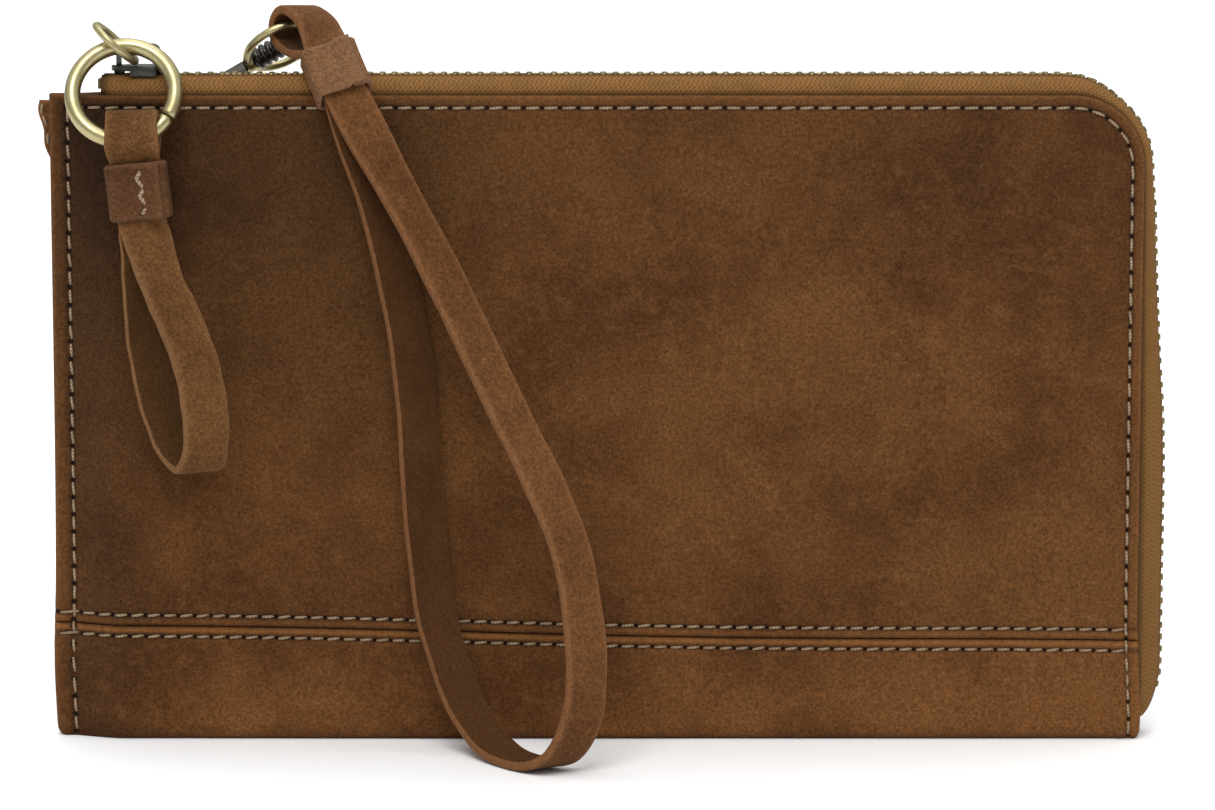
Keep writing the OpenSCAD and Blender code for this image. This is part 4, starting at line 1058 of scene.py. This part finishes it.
strap_route += [sk_pt(s, -1) for s in (1, 0, -1)]
strap_route += [loop_at(8, -2.2, -1.3), loop_at(4, -3.4, -0.4)] + [loop_round(a) for a in (270, 225)]
turning, leaving = [(0.8, 0.6, 0), (0.88, 0.45, 0.08)], [(0.92, 0.38, 0.05)]
strap_wides = [RING_W] * 3 + turning + [SK_WIDE] * 3 + leaving + [(0.85, 0.52, 0)] * 24
strap_wides += leaving + [SK_WIDE] * 3 + turning[::-1] + [RING_W] * 2
strip("wrist_strap", "wristlet", M_STRAP, strap_route, strap_wides, STRAP_W, STRAP_T, 9, 0.8, 0.6)
keeper("strap_keeper", "wristlet", M_KEEPER, SK_C, SK_ALONG, SK_WIDE, STRAP_W + 0.5,
       2 * LAYER + STRAP_T + 0.8, 8, 0.34, 0.2)

# ------------------------ D-ring tab on the back
TAB_LEFT, TAB_FLAT, TAB_T = X0 - 2.6, X0 + 2, 1.4


def tab_edge(x, z):
    """The patch's free edge narrows towards its foot and is a little uneven."""
    share = 0.7 * smooth((125 - z) / 19) + 0.06 * np.sin(z * 0.9)
    past = TAB_FLAT - x
    return np.where(x < TAB_FLAT, x + past * share - 1.35 * smooth(past / 2), x)


def build_tab():
    near = np.array([0, 0.12, 0.3, 0.55, 0.9])
    x, z = np.meshgrid(
        np.concatenate([TAB_LEFT + np.append(near, (1.4, 2.0)), np.linspace(X0 + 0.4, -91.9, 22),
                        -91 - np.array([0.6, 0.3, 0.12, 0])]),
        np.concatenate([108 + near, np.linspace(109.5, 124.6, 20), 126 - near[::-1]]))
    edge = box_inset(x, z)
    drop = roll(edge, TAB_T / 2)
    h = half_at(x, z) + 0.35
    x = tab_edge(x, z)
    v, f = shell(points(x, h + TAB_T - drop + 0.12 * bell(edge, 1.4, 0.7), z), points(x, h + drop, z), 1)
    # the strip that runs up from the patch and round the ring's bar
    r, (_, by, bz) = 1.85, D_C
    path = [(7.75, 109.2), (7.75, 111), (7.7, 113), (by - r, bz - 0.6)]
    path += [(by + r * math.cos(a), bz + r * math.sin(a)) for a in np.radians(range(175, -115, -10))]
    path += [(8.6, bz - 2.9), (8.95, 112.2)]
    p = np.array([(D_C[0], y, z) for y, z in path])
    wide = np.array([1.0, 0, 0])
    sec = strip_section(7.8, 1.3, 0.4)
    out = np.cross(tangents(p, False), wide)[:, None]
    sv = p[:, None] + wide * sec[None, :, 0:1] + out * sec[None, :, 1:2]
    n, m = len(p), len(sec)
    sf = grid_faces(n, m, wrap_c=True).tolist() + end_caps(n, m)
    v, f, _ = merge([(a, b, np.zeros((len(a), 2))) for a, b in ((v, f), (sv.reshape(-1, 3), sf))])
    wear_and_highlight = np.concatenate([np.tile(bell(edge, 0, 0.6).ravel(), 2), np.tile(sec[:, 2], n)])
    piece("d_ring_tab", "leather", "pouch", "strap_leather", M_STRAP, v, f, {"edge": wear_and_highlight * 0.7},
          clean="weld")

    parts, lift = [], raised(-0.25, 0.45)
    for zc in (111.4, 114.9, 118.4, 121.9, 124.2):
        for y, sign in ((SEAM_HALF + 0.35, -1), (SEAM_HALF + 1.75, 1)):
            z = zc + 2 * (0.5 - THREAD_T)
            path = points(tab_edge(TAB_LEFT + 0 * z, z) + 0.85, y + sign * lift, z)
            parts.append(tube(path, 0.25, 8, up=(1, 0, 0.1)))
    for sign in (-1, 1):
        x = D_C[0] + sign * 2 + 2.4 * (THREAD_T - 0.5)
        parts.append(tube(points(x, 9.6 + lift, 111.3), 0.25, 8, up=(0, 1, 0.1)))
    sew("tab_thread", "pouch", parts)


build_tab()

# ------------------------ floor, light, camera
bpy.ops.mesh.primitive_plane_add(size=14, location=(0, 2.0, 0))
floor = bpy.context.object
floor.name = "floor"
paper, n = new_material("floor_paper")
n.shader({"Base Color": (0.97, 0.97, 0.97, 1), "Roughness": 0.9})
floor.data.materials.append(paper)

scene = bpy.context.scene
scene.view_settings.view_transform = "Standard"
scene.world = bpy.data.worlds.new("studio")
scene.world.use_nodes = True
sky = Nodes(scene.world.node_tree)
height = sky.xyz(sky.make("TexCoord", {}, "Generated"))["Z"]
sky.fill(sky.tree.nodes["Background"], {"Strength": sky.ramp(height, -0.05, 0.9, 0.36, 0.95),
                                        "Color": (1, 1, 1, 1)})


def place(ob, direction):
    """Puts a light or camera into the scene, looking in a direction."""
    scene.collection.objects.link(ob)
    ob.rotation_mode = "QUATERNION"
    ob.rotation_quaternion = Vector(direction).to_track_quat("-Z", "Y")


# wide, soft lights that fall evenly over the floor
for name, power, degrees, direction in (("front_softbox", 1.5, 32, (0.08, 0.58, -0.8)),
                                        ("back_softbox", 0.7, 40, (-0.03, -0.24, -0.97))):
    lamp = bpy.data.lights.new(name, "SUN")
    lamp.energy = power
    lamp.angle = math.radians(degrees)
    place(bpy.data.objects.new(name, lamp), direction)

TARGET = Vector((0.0015, -0.0085, 0.0672))
DISTANCE, ELEVATION = 0.9, math.radians(8)
cam = bpy.data.cameras.new("camera")
cam.sensor_width = 36
cam.lens = 136.53
cam.clip_start, cam.clip_end = 0.05, 30
cam_ob = bpy.data.objects.new("camera", cam)
cam_ob.location = TARGET + DISTANCE * Vector((0, -math.cos(ELEVATION), math.sin(ELEVATION)))
place(cam_ob, TARGET - cam_ob.location)
scene.camera = cam_ob
